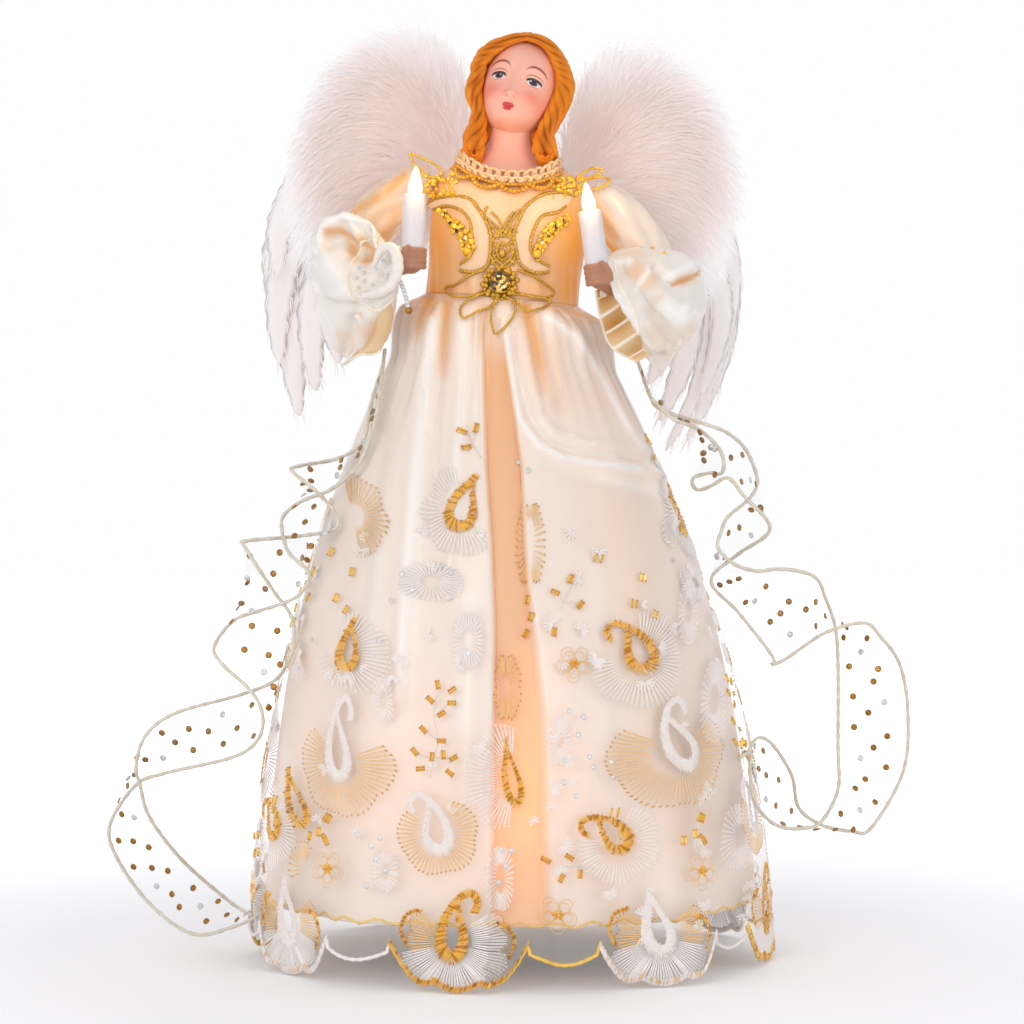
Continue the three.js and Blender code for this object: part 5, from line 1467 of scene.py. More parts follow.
def makeHair():
    rows, sides = 90, 120
    rise = np.linspace(-pi / 2, pi / 2, rows)[1:-1][:, None]
    turn = around(sides)[None, :]
    way = np.stack([cos(rise) * cos(turn), cos(rise) * sin(turn), sin(rise) + 0 * turn], -1)
    points = way * [14.6, 13.2, 16.2]
    points[..., 1] *= np.where(points[..., 1] < 0, 0.84, 1)
    groove = 0.5 * sin(2.7 * points[..., 1] + 1.1 * sin(0.42 * points[..., 2] + 0.3 * np.abs(points[..., 0])))
    part = -0.7 * np.exp(-((points[..., 0] - 1.0) / 0.7) ** 2) * (points[..., 2] > 6)
    low = smooth(-points[..., 2], 2, 12)
    points = points + way * (groove + part)[..., None]
    points = points * (1 - 0.1 * low[..., None] * np.array([1, 0, 0])) + [0, 2.3, 1.6]
    bag = Bag()
    ends = np.array([[0, 2.3, 1.6 - 16.0], [0, 2.3, 1.6 + 16.0]])  # nape and crown
    shell = np.vstack([fromHead(points).reshape(-1, 3), fromHead(ends)])
    bag.add(shell, ballFaces(rows - 2, sides))
    # painted shade: darker in the grooves and the parting of the cap
    creaseShade = [np.append(0.75 * smooth(-(groove + part), 0.05, 0.6).ravel(), [0, 0])]

    def lay(mesh, shade=0.0):
        bag.add(*mesh)
        creaseShade.append(np.broadcast_to(shade, len(mesh[0])))

    def layLock(middle, reach, sign):  # six strands twisted together
        share = np.linspace(0, 1, len(middle))
        along = unit(np.gradient(middle, axis=0))
        deep = np.tile([0.0, 1.0, 0.0], (len(middle), 1))
        deep = unit(deep - along * (deep * along).sum(1, keepdims=True))
        wide = np.cross(along, deep)
        for k in range(6):
            phase = k / 6 * tau + sign * share * 3.4 * pi * smooth(share, 0.1, 0.5)
            aside, ahead = (reach * 0.6 * cos(phase))[:, None], (reach * 0.5 * sin(phase))[:, None]
            path = middle + wide * aside + deep * ahead
            mesh = tubeAlong(path, reach * (0.4 + 0.06 * sin(30 * share + 2 * k)), 9)
            # painted shade: darker inside the twist, between the strands
            off = np.linalg.norm((mesh[0] - np.repeat(middle, 9, 0)) * [1, 0.7, 1], axis=1) / np.repeat(reach, 9)
            lay(mesh, 0.85 * (1 - smooth(off, 0.45, 0.82)))

    def layStrand(start, drops, sway, wave, thick):  # wavy strand over the back of the head
        path = curveThrough(np.array(start) + drops, 50)
        path[:, 0] += sway * sin(wave)
        lay(tubeAlong(fromHead(path), thick - 0.5 * np.linspace(0, 1, 50) ** 2, 9))

    for side, spots in hairLocks.items():
        sign = signs[side]
        px, py, wide, depth = curveThrough(spots, 90).T
        middle = seenAt(px, py, depth)
        reach = wide / view["pixels"]
        layLock(middle, reach, sign)
        for back, inset in ((4.4, 2.0), (8.4, 3.5)):  # again further back, so that no scalp shows from the side
            behind = seenAt(px - sign * inset, py + 1.5, depth + back)[:70]
            layLock(behind, np.maximum(2.0, reach[:70] * 0.85), sign)
        for k in range(3):
            drop = middle[-1] + np.array([sign * 0.3, -1.2 + 0.9 * k, -0.4 - 0.5 * k])
            a = np.linspace(0, 2.2 * tau, 60)
            curl = np.linspace(3.3, 0.7, 60)
            path = drop + np.stack([curl * cos(a) * sign, -0.015 * a, curl * sin(a) * 0.95], -1)
            lay(tubeAlong(path, np.linspace(0.95, 0.6, 60), 8), 0.0)
        # a dark ball of painted shade fills the hollow in the middle of the curls
        lay(ballAt(middle[-1] + np.array([sign * 0.3, 0.4, -0.6]), [3.6, 2.2, 3.6], 11, 16), 0.9)
        # tubes at half painted shade fill the gap between the lock and the neck
        fill = curveThrough(hairFill[side], 40)
        for k in range(2):
            path = seenAt(fill[:, 0] + sign * 4 * k, fill[:, 1], -2.0 + 2.4 * k)
            path[:, 0] += 0.5 * sin(np.linspace(0, 11, 40) + k)
            fat = (2.4 + 0.3 * sin(np.linspace(0, 14, 40))) * evenly(40, [0, 0.7, 1], [1, 1, 0.35])
            lay(tubeAlong(path, fat, 10), 0.5)
        drops = [(0, 0, 4), (0, 0, 0), (sign * 0.6, 0, -6), (sign * -0.8, -0.5, -12), (sign * -2.2, 0, -17)]
        for k in range(5):
            layStrand([sign * 11.6, 1.5 + 2.6 * k, 1.0 - 0.6 * k], drops, 0.8, np.linspace(0, 9, 50) + k, 2.3)
    drops = [(0, -0.5, 5), (0, 0, 0), (0, 0.2, -6), (0, -1.5, -12), (0, -2.5, -17)]
    for k in range(6):
        x = -8 + 3.2 * k
        layStrand([x, 13.2 - 0.12 * x**2 * 0.3, 0], drops, 0.7, np.linspace(0, 8, 50) + 2 * k, 2.2)
    finishes["hair"] = hairFinish()
    piece("castHair", bag, "hair", "stand", masks={"creaseShade": np.concatenate(creaseShade)})


makeFace()
makeHair()
print("head ready")


# Arms: satin sleeves, balloon cuffs, hands and lit candles
arm = {
    "line": [(26.2, 1, 36), (33, 1, 33.5), (40, 1, 27), (46, 0.5, 20), (50, -0.5, 12.5), (51, -5, 6.5),
             (50, -11.5, 2.5), (47.5, -19, 0.5)],
    "elbow": 0.56,
    "sleeve": [(0, 7.2), (0.1, 8.4), (0.24, 9.1), (0.4, 8.9), (0.56, 7.2)], "spread": 29.5, "forward": 33,
    "height": 12.5,
    "leans": {"left": radians(-3), "right": radians(-13)}, "tube": 3.7, "tubeLength": 16, "flame": 2.3,
    "flameLength": 10,
}
cuffLoops = {  # pixels and depth: the widest line of the balloon, then its mouth
    "left": {"bulge": [(316, 238, -8), (330, 221, -8), (352, 217, -9), (374, 228, -12), (388, 250, -16),
                       (397, 280, -18), (394, 312, -18), (388, 338, -17), (367, 352, -15), (344, 358, -12),
                       (325, 338, -8), (314, 305, -6), (312, 268, -6)],
             "rim": [(320, 240, -17), (324, 220, -18), (344, 216, -20), (366, 221, -23), (377, 247, -28),
                     (400, 248, -36), (399, 282, -36), (386, 297, -34), (369, 301, -32), (353, 297, -30),
                     (341, 284, -27), (331, 270, -23), (323, 254, -20)]},
    "right": {"bulge": [(618, 250, -14), (640, 247, -10), (668, 250, -7), (692, 260, -5), (704, 284, -5),
                        (704, 316, -6), (692, 340, -9), (675, 353, -12), (664, 372, -16), (652, 358, -20),
                        (634, 330, -22), (616, 300, -22), (604, 270, -20)],
              "rim": [(602, 262, -33), (606, 270, -33), (610, 280, -34), (616, 294, -34), (626, 312, -33),
                      (640, 334, -31), (650, 350, -28), (643, 355, -22), (630, 344, -22), (615, 322, -23),
                      (603, 298, -25), (597, 280, -28), (597, 268, -31)]},
}
cuffWrists = {"left": (394, 262, -31), "right": (603, 272, -31)}
cuffCreases = {  # pixels of folds, height, width in pixels
    "left": [([(330, 300), (352, 305), (372, 306)], -1.2, 5), ([(322, 300), (336, 322), (345, 345)], 1.0, 6),
             ([(356, 302), (352, 330), (342, 356)], -1.2, 5), ([(318, 262), (330, 290), (350, 312)], 0.9, 5),
             ([(368, 318), (362, 345)], 1.0, 5),
             ([(316, 262), (316, 240), (326, 222), (345, 216), (365, 222), (378, 243)], 1.3, 4),
             ([(332, 242), (346, 236), (356, 248)], -2.6, 8), ([(352, 226), (361, 244), (364, 264)], 1.6, 4),
             ([(370, 240), (368, 258)], -1.6, 5), ([(318, 280), (330, 292), (352, 298)], 1.6, 8)],
    "right": [([(655, 268), (676, 282), (702, 272)], -2.2, 4), ([(648, 275), (668, 296), (690, 310)], 1.2, 6),
              ([(628, 266), (646, 292), (668, 316)], -1.0, 5), ([(652, 300), (672, 322), (684, 336)], -1.0, 5),
              ([(612, 264), (640, 262), (664, 258)], 1.0, 5), ([(640, 310), (660, 335), (668, 360)], 0.9, 5),
              ([(690, 292), (684, 318), (674, 342)], 0.9, 6)],
}
cuffWarmth = {  # painted lamplight and shade in the hollows: pixels of strokes, width, strength
    "left": [([(326, 232), (340, 230), (350, 240), (354, 258)], 7, 0.8),
             ([(362, 240), (372, 252), (366, 262)], 6, 0.85), ([(366, 330), (384, 325)], 14, 0.4),
             ([(342, 334), (352, 346)], 9, 0.3), ([(345, 352), (360, 354)], 8, 0.3)],
    "right": [([(682, 281), (692, 277)], 5, 1.0), ([(672, 285), (702, 272)], 2.6, 1.0),
              ([(632, 268), (648, 280)], 14, 0.55), ([(655, 330), (670, 345)], 18, 0.3),
              ([(612, 256), (640, 255)], 8, 0.3), ([(660, 300), (652, 312)], 7, 0.35),
              ([(690, 330), (682, 345)], 10, 0.25)],
}
cuffShine = {  # painted highlights: pale colour on the folds
    "left": [([(318, 250), (322, 226), (344, 217), (364, 224)], 3, 0.9), ([(330, 264), (346, 288)], 9, 0.8),
             ([(380, 262), (392, 270)], 6, 0.8)],
    "right": [([(608, 262), (628, 262)], 5, 0.9), ([(648, 270), (636, 290)], 4, 0.8),
              ([(692, 264), (668, 276)], 4, 0.9), ([(664, 302), (682, 318)], 6, 0.9),
              ([(620, 296), (640, 326)], 3, 0.8)],
}
cuffCurls = {  # rolled edge of the frill in front of the left wrist
    "left": [(374, 266, -33), (381, 251, -36), (391, 247, -38), (397, 257, -39), (397, 272, -39), (390, 286, -38),
             (377, 293, -36), (362, 296, -33)],
}
cuffSequins = {
    "left": [(359, 268), (363, 273), (357, 278), (365, 281), (360, 287), (367, 292), (384, 262), (388, 273),
             (381, 282), (378, 270), (374, 286)],
    "right": [(652, 249), (663, 254)],
}
frills = {  # in the mouth of each cuff: upper, middle and lower line, depth at their ends, pleats, cut, area
    "left": ([(354, 316), (366, 310), (378, 306), (390, 301)], [(361, 336), (371, 333), (381, 328), (392, 321)],
             [(341, 364), (356, 358), (368, 354), (381, 349)], ((-27, -32), (-22, -28), (-15, -23)), 1.3,
             (0.024, 0.014), 0.0003),
    "right": ([(604, 285), (620, 303), (637, 327), (653, 352)], [(600, 288), (610, 311), (625, 337), (646, 357)],
              [(596, 291), (601, 320), (611, 346), (636, 362)], ((-27, -25), (-27, -25), (-27, -25)), 2.5,
              (0.029, 0.012), 0.00026),
}
sleeveWarmth = {  # pixels of lamplit strokes, width, strength
    "left": [([(404, 176), (380, 196), (352, 212)], 10, 0.9), ([(396, 214), (384, 238)], 14, 0.75),
             ([(412, 190), (404, 200)], 10, 0.5)],
    "right": [([(590, 196), (604, 214), (612, 236)], 12, 0.75), ([(596, 236), (612, 250), (618, 258)], 9, 1.0),
              ([(584, 204), (590, 220)], 9, 0.95)],
}


def armPath(side, count=120):
    return curveThrough([(signs[side] * x, y, z) for x, y, z in arm["line"]], count)


def ringsAlong(path, wide, turn):
    along = unit(np.gradient(path, axis=0))
    across = unit(np.cross(np.cross([0, -1, 0.2], along), along))
    other = np.cross(along, across)
    rings = cos(turn)[:, None] * across[:, None] + sin(turn)[:, None] * other[:, None]
    return path[:, None] + wide[..., None] * rings


def sleeveRings(side, rows=56, sides=84):
    path = armPath(side)
    path = curveThrough(path[: int(len(path) * arm["elbow"]) : 6], rows)
    share = np.linspace(0, arm["elbow"], rows)[:, None]
    table = np.array(arm["sleeve"])
    turn = around(sides)
    wide = np.interp(share, table[:, 0], table[:, 1])
    folds = 0.5 * sin(5 * turn + 9 * share) + 0.3 * sin(8 * turn - 14 * share)
    wide = wide + folds * smooth(share, 0.02, 0.12) - 0.4
    return toRow(ringsAlong(path, wide, turn))


def overSleeve(side, points, lift):  # row points brought in front of the sleeve, at rest and as the arm is raised
    hinge = next(joint for joint in frame["record"]["behaviour"]["joints"] if joint["name"] == f"arm_raise_{side}")
    pivot, axis = np.array(hinge["pos_m"]) * 1000, np.array(hinge["axis"])
    away = sleeveRings(side, 90, 140).reshape(-1, 3) - pivot
    points = np.array(points)
    for turn in np.radians(np.linspace(0, hinge["range_deg"][1], 6)):
        turned = away * math.cos(turn) + np.cross(axis, away) * math.sin(turn)
        turned = turned + np.outer(away @ axis, axis) * (1 - math.cos(turn)) + pivot
        for point in points:
            near = (np.abs(turned[:, [0, 2]] - point[[0, 2]]) < 0.9).all(1)
            if near.any():
                point[1] = min(point[1], turned[near, 1].min() - lift)
    return points


def makeLeaf(side):
    leaf = Bag()
    for line in shoulderLines[side]:
        path = overSleeve(side, onDress(curveThrough(line, 40), 0.7), 1.0)
        beadCord(leaf, path, 0.43)
    left, top, right, bottom = shoulderSequins[side]
    spots = np.column_stack([chance.uniform(left, right, 34), chance.uniform(top, bottom, 34)])
    scatterDiscs(leaf, overSleeve(side, onDress(spots, 0.7), 1.4), 0.8)
    piece(f"shoulderLeaf_{side}", leaf, "goldBead", "stand", [f"shoulder_leaf_{side}"])


def makeSleeve(side):
    points = sleeveRings(side)
    rows, sides = points.shape[:2]
    px, py = pixelOf(points)
    # painted lamplight: orange-tan strokes over a tint on the whole sleeve, stronger on the left, and a faint painted
    # glow
    paintedWarmLight = strokes(sleeveWarmth[side], px, py, points[..., 1] < 6)
    paintedWarmLight = np.maximum(paintedWarmLight, 0.5 if side == "left" else 0.24)
    faces = cappedFaces(rows, sides)
    cloth = piece(f"satinSleeve_{side}", (points, faces), "sleeveSatin", f"arm_{side}",
                  [f"upper_sleeve_{side}"], masks={"paintedWarmLight": paintedWarmLight, "glow": 0.1 * paintedWarmLight})


def makeCuff(side):
    loops = cuffLoops[side]
    sides, rows = 156, 64
    bulge, rim = (seenAt(*curveThrough(loops[key], sides, True).T) for key in ("bulge", "rim"))
    path = armPath(side)
    elbow = toRow(path[int(len(path) * arm["elbow"]) + 2])
    spread = unit(bulge - bulge.mean(0))
    wrist = seenAt(*cuffWrists[side]) + unit(rim - rim.mean(0)) * [3.6, 1.5, 3.6]
    start = elbow + spread * [6.4, 3.5, 6.4]
    keys = np.stack([  # rings from the elbow over the balloon and back into its mouth
        elbow + spread * [1.1, 0.6, 1.1], start, lerp(start, bulge, 0.55) + [0, 4.5, 0], bulge,
        lerp(bulge, rim, 0.6) - [0, 1.2, 0], rim, lerp(rim, wrist, 0.3) + [0, 2.2, 0],
        lerp(rim, wrist, 0.7) + [0, 3.2, 0], wrist,
    ])
    points = np.stack([curveThrough(keys[:, i], rows) for i in range(sides)], 1)
    px, py = pixelOf(points)
    normal = unit(np.cross(np.gradient(points, axis=1), np.gradient(points, axis=0)))
    normal = normal * np.sign(((points[: rows // 2] - bulge.mean(0)) * normal[: rows // 2]).sum(-1).mean())
    facing = smooth(-normal[..., 1], -0.2, 0.2)
    relief = foldRelief(cuffCreases[side], px, py, facing)
    # painted lamplight and shade in the hollows, and painted highlights on the folds, on the cuff's front; a faint
    # painted glow
    paintedWarmLight, paintedHighlight = (strokes(table[side], px, py, facing) for table in (cuffWarmth, cuffShine))
    turn = around(sides)
    share = np.linspace(0, 1, rows)[:, None]
    ripple = 0.22 * sin(11 * turn + 3 * sin(3 * share))
    relief = relief + ripple * smooth(share, 0.05, 0.3) * (1 - smooth(share, 0.85, 1))
    points = points + normal * relief[..., None]
    faces = cappedFaces(rows, sides)
    cloth = piece(f"satinCuff_{side}", (points, faces), "sleeveSatin", f"arm_{side}",
                  [f"cuff_flounce_{side}"], masks={"paintedWarmLight": paintedWarmLight, "glow": 0.05 * paintedWarmLight, "paintedHighlight": paintedHighlight})
    edge = np.argmin(np.linalg.norm(points - rim[None], axis=-1).mean(1))
    piping = Bag()
    piping.tube(points[edge], 0.5, 7, True)
    if side in cuffCurls:
        roll = curveThrough(cuffCurls[side], 60)
        fat = evenly(60, [0, 0.15, 0.5, 0.85, 1], [0.7, 1.5, 1.9, 1.7, 0.8]) * (1 + 0.06 * sin(np.arange(60) * 1.1))
        curl = tubeAlong(seenAt(*roll.T), fat, 18)
        still = np.zeros(len(curl[0]))
        piece(f"satinCurl_{side}", curl, "sleeveSatin", f"arm_{side}",
                        masks={"paintedWarmLight": still, "glow": still})
    sequins = Bag()
    for x, y in cuffSequins[side]:
        near = np.argmin((px - x) ** 2 + (py - y) ** 2 + 1e4 * (facing < 0.4))
        spot, way = points.reshape(-1, 3)[near], normal.reshape(-1, 3)[near]
        ahead = [0, -4.5, 0] if side == "left" and x > 370 else [0, 0, 0]  # on the rolled edge
        addDisc(sequins, spot + way * 0.2 + ahead, way + [0, -0.5, 0.2], 0.68, 0.3, 9)
    bright = "silverSequin" if side == "left" else "goldBead"
    piece(f"cuffSequins_{side}", sequins, bright, f"arm_{side}")

    *traced, depth, pleats, cut, area = frills[side]
    phase = np.linspace(0, pleats * tau, 60)
    wave = (1.4 if side == "left" else 2.6) * np.arcsin(sin(phase) * 0.98) / 1.3
    top, half, foot = (np.column_stack([curveThrough(line, 60), np.linspace(*ends, 60)])
                       for line, ends in zip(traced, depth))
    foot[:, 1] += 2.0 * sin(phase + 1.0) * (side == "left")
    bands = []
    for share in np.linspace(0, 1, 13):
        spots = top * (1 - share) * (1 - 2 * share) + half * 4 * share * (1 - share) + foot * share * (2 * share - 1)
        bands.append(seenAt(spots[:, 0], spots[:, 1], spots[:, 2] + wave * (0.4 + 0.6 * share)))
    frill = np.stack(bands)
    fall = sin(np.linspace(0.15, 0.9, 13) * pi)[:, None]
    # painted shade and lamplight that change across the pleats, and painted highlights on the right's pleat crests and
    # along the left's open edge; a faint painted glow
    if side == "right":
        tan = np.clip(np.linspace(1.0, 0.3, 60) + 0.25 * sin(phase + 0.6), 0, 1) * np.sqrt(fall)
        sheen = smooth(np.abs(sin(phase)), 0.965, 1) * 0.9 + 0 * fall
    else:  # pale along its open edge
        tan = np.clip(0.4 + 0.16 * sin(phase - 1.0), 0, 1) * smooth(np.linspace(0, 1, 60), 0.04, 0.3) * fall
        sheen = (1 - smooth(np.linspace(0, 1, 60), 0.02, 0.16)) + 0 * fall
    leaf = piece(f"satinFrill_{side}", (frill, gridFaces(13, 60)), "frillSatin", f"arm_{side}",
                 masks={"paintedWarmLight": tan, "glow": 0.04 * tan, "paintedHighlight": sheen})
    thicken(leaf, 0.35)
    piping.tube(frill[-1], 0.42, 7)
    piece(f"cuffPiping_{side}", piping, "piping", f"arm_{side}")


def candleSpot(side, along, across=(0, 0)):  # a point in the candle's own frame, to row
    sign = signs[side]
    lean = arm["leans"][side]
    axis = np.array([math.sin(lean), 0, math.cos(lean)])
    wide = np.array([math.cos(lean), 0, -math.sin(lean)])
    base = np.array([sign * arm["spread"], -arm["forward"], arm["height"]])
    along, first, second = np.broadcast_arrays(np.asarray(along, float), across[0], across[1])
    return toRow(base + along[..., None] * axis + first[..., None] * wide + second[..., None] * np.array([0, 1, 0]))


def turnedOnCandle(side, profile, sides):
    profile = np.asarray(profile, float)
    turn = around(sides)
    radius, along = profile[:, 0][:, None], profile[:, 1][:, None]
    return candleSpot(side, along + 0 * turn, (radius * cos(turn), radius * sin(turn)))


def makeCandle(side):
    r, length = arm["tube"], arm["tubeLength"]
    tube = [(r - 0.6, 0.2), (r - 0.25, 0), (r, 0.3), (r, length - 0.5), (r - 0.2, length), (r - 0.5, length),
            (r - 0.7, length - 0.4), (r - 0.75, length - 2)]
    inside = [(r - 0.75, length - 3), (r - 0.72, 0.2)]
    points = turnedOnCandle(side, np.vstack([curveThrough(tube, 44), inside]), 40)
    piece(f"candleTube_{side}", (points, loopFaces(len(points), 40)), "candle", f"arm_{side}",
          [f"candle_tube_{side}"])
    f, tall, foot = arm["flame"], arm["flameLength"], length * 0.4
    flame = [(0.2, foot + 0.15), (1.55, foot + 0.3), (1.55, length), (f * 0.86, length + 0.6),
             (f, length + tall * 0.24),
             (f * 0.84, length + tall * 0.48), (f * 0.5, length + tall * 0.78), (f * 0.2, length + tall * 0.95),
             (0.06, length + tall)]
    profile = curveThrough(flame, 50)
    points = turnedOnCandle(side, profile, 32)
    rise = np.repeat(np.clip((profile[:, 1] - length) / tall, 0, 1), 32)
    piece(f"flameBulb_{side}", (points, cappedFaces(50, 32)), "litGlass", f"bulb_{side}",
          [f"flame_bulb_{side}"], masks={"rise": rise})
    lamp = bpy.data.lights.new(f"candle light {side}", "POINT")
    lamp.energy, lamp.color, lamp.shadow_soft_size = stage["candle"], (1.0, 0.62, 0.24), 0.004
    glow = bpy.data.objects.new(f"candle light {side}", lamp)
    glow.location = (candleSpot(side, length + tall * 0.45, (0, -3.6)) / 1000).tolist()
    bpy.context.scene.collection.objects.link(glow)


def makeHand(side):
    sign = signs[side]
    bag = Bag()
    path = armPath(side)
    wrist = toFigure(candleSpot(side, -4.4))
    knots = [path[int(len(path) * share)] for share in (0.72, 0.84)]
    knots += [[sign * (arm["spread"] + 9), -arm["forward"] + 11, wrist[2] - 3.5], wrist + [sign * 1.0, 1.2, -1.2]]
    bag.tube(toRow(curveThrough(knots, 40)), evenly(40, [0, 0.5, 0.8, 1], [3.4, 3.2, 2.7, 3.0]), 16)
    bag.add(*ballAt(candleSpot(side, -4.6, (sign * 0.6, 0.8)), [4.0, 3.9, 4.2], 13, 18))
    for k in range(4):
        a = np.linspace(0.5, 4.1, 20)
        level = -1.5 - 1.75 * k
        finger = candleSpot(side, level + 0.1 * a, (sign * 3.7 * cos(a), -3.7 * sin(a) * 0.95))
        bag.tube(finger, evenly(20, [0, 0.15, 0.85, 1], [0.7, 1.0, 0.95, 0.5]), 10)
    along, aside, ahead = np.array([(-6.5, 3.0, -2.5), (-4.0, 3.2, -3.4), (-1.6, 2.2, -4.2), (0.0, 1.0, -4.6)]).T
    thumb = candleSpot(side, along, (sign * aside, ahead))
    bag.tube(curveThrough(thumb, 20), evenly(20, [0, 0.5, 1], [1.5, 1.25, 0.75]), 10)
    made = piece(f"castHand_{side}", bag, "hand", f"arm_{side}", [f"hand_{side}"])
    join = made.modifiers.new("one casting", "REMESH")
    join.mode, join.voxel_size, join.use_smooth_shade = "VOXEL", 0.0003, True
    ease = made.modifiers.new("soft joins", "SMOOTH")
    ease.iterations = 12


def makeChain():  # silver beads that hang from the left cuff
    silver, gold = Bag(), Bag()
    line = curveThrough([(399, 279, -36), (403, 288, -35.4), (406, 298, -35), (408, 306, -35)], 8)
    for x, y, depth in line:
        silver.add(*ballAt(seenAt(x, y, depth), [0.8] * 3, 8, 10))
    gold.add(*ballAt(seenAt(408.6, 310.5, -35), [1.2, 1.0, 1.3], 8, 10))
    piece("wristChain", silver, "silverSequin", "arm_left")
    piece("wristBead", gold, "bronzeDisc", "arm_left")


makeChain()
for side in signs:
    makeSleeve(side)
    makeLeaf(side)
    makeCuff(side)
    makeCandle(side)
    makeHand(side)
print("arms ready")


# Wings: a padded heart of down, loose barbs over it, long plumes below
wing = {
    "outline": [(12, 28), (14, 50), (17, 68), (24, 83), (36, 88.5), (50, 86), (62.5, 77), (71, 61), (74, 44),
                (72.5, 26), (67, 12), (54, 8), (38, 14), (22, 20)],
    "middle": (43, 48), "front": 19.6, "depth": 9, "shrink": 0.92, "barbs": 12000, "fringe": 2600,
}
plumeTips = {  # places down each long plume in the figure's frame, with its half-width
    "left": [([(58, 36), (70, 8), (71, -16), (66, -43)], 6.0), ([(52, 36), (62, 8), (64, -14), (61, -34)], 6.0),
             ([(66, 40), (76, 20), (78.5, 6), (77, -7)], 5.5), ([(63, 38), (74, 12), (76, -8), (74, -26)], 5.5),
             ([(46, 34), (55, 8), (57, -8), (54, -24)], 6.0), ([(69, 46), (76, 28), (78, 16), (77, 4)], 5.0)],
    "right": [([(66, 44), (77, 14), (75.5, -14), (67, -40)], 3.4),
              ([(68, 48), (77.5, 20), (76.5, -6), (72, -26)], 2.8), ([(60, 40), (71, 8), (69, -20), (60, -44)], 3.2),
              ([(54, 38), (63, 6), (63, -14), (57, -34)], 5.0), ([(47, 34), (56, 6), (57, -8), (52, -22)], 5.0),
              ([(64, 40), (74, 10), (74, -8), (70, -24)], 4.0)],
}


def insideWing(x, z, outline):
    inside = np.zeros(np.shape(x), bool)
    count = len(outline)
    for i in range(count):
        (ax, az), (bx, bz) = outline[i], outline[(i + 1) % count]
        cross = ((az > z) != (bz > z)) & (x < (bx - ax) * (z - az) / (bz - az + 1e-9) + ax)
        inside = inside ^ cross
    return inside


def barbFlow(spots, sign, front, spread):  # down lies outward from the shoulder and hangs over at the outside
    run = spots - np.array([14, 30])
    far = np.clip((spots[:, 0] - 30) / 45, 0, 1)
    way = unit(run) + np.column_stack([0 * far, -1.1 * far])
    flow = np.column_stack([sign * way[:, 0], 0.14 * front, way[:, 1]])
    flow = unit(unit(flow) + chance.normal(0, spread, flow.shape))
    fall = np.column_stack([0 * far, -0.1 * front, -0.45 - 0.3 * far])
    droop = unit(flow + fall + chance.normal(0, spread * 1.3, flow.shape))
    return flow, droop


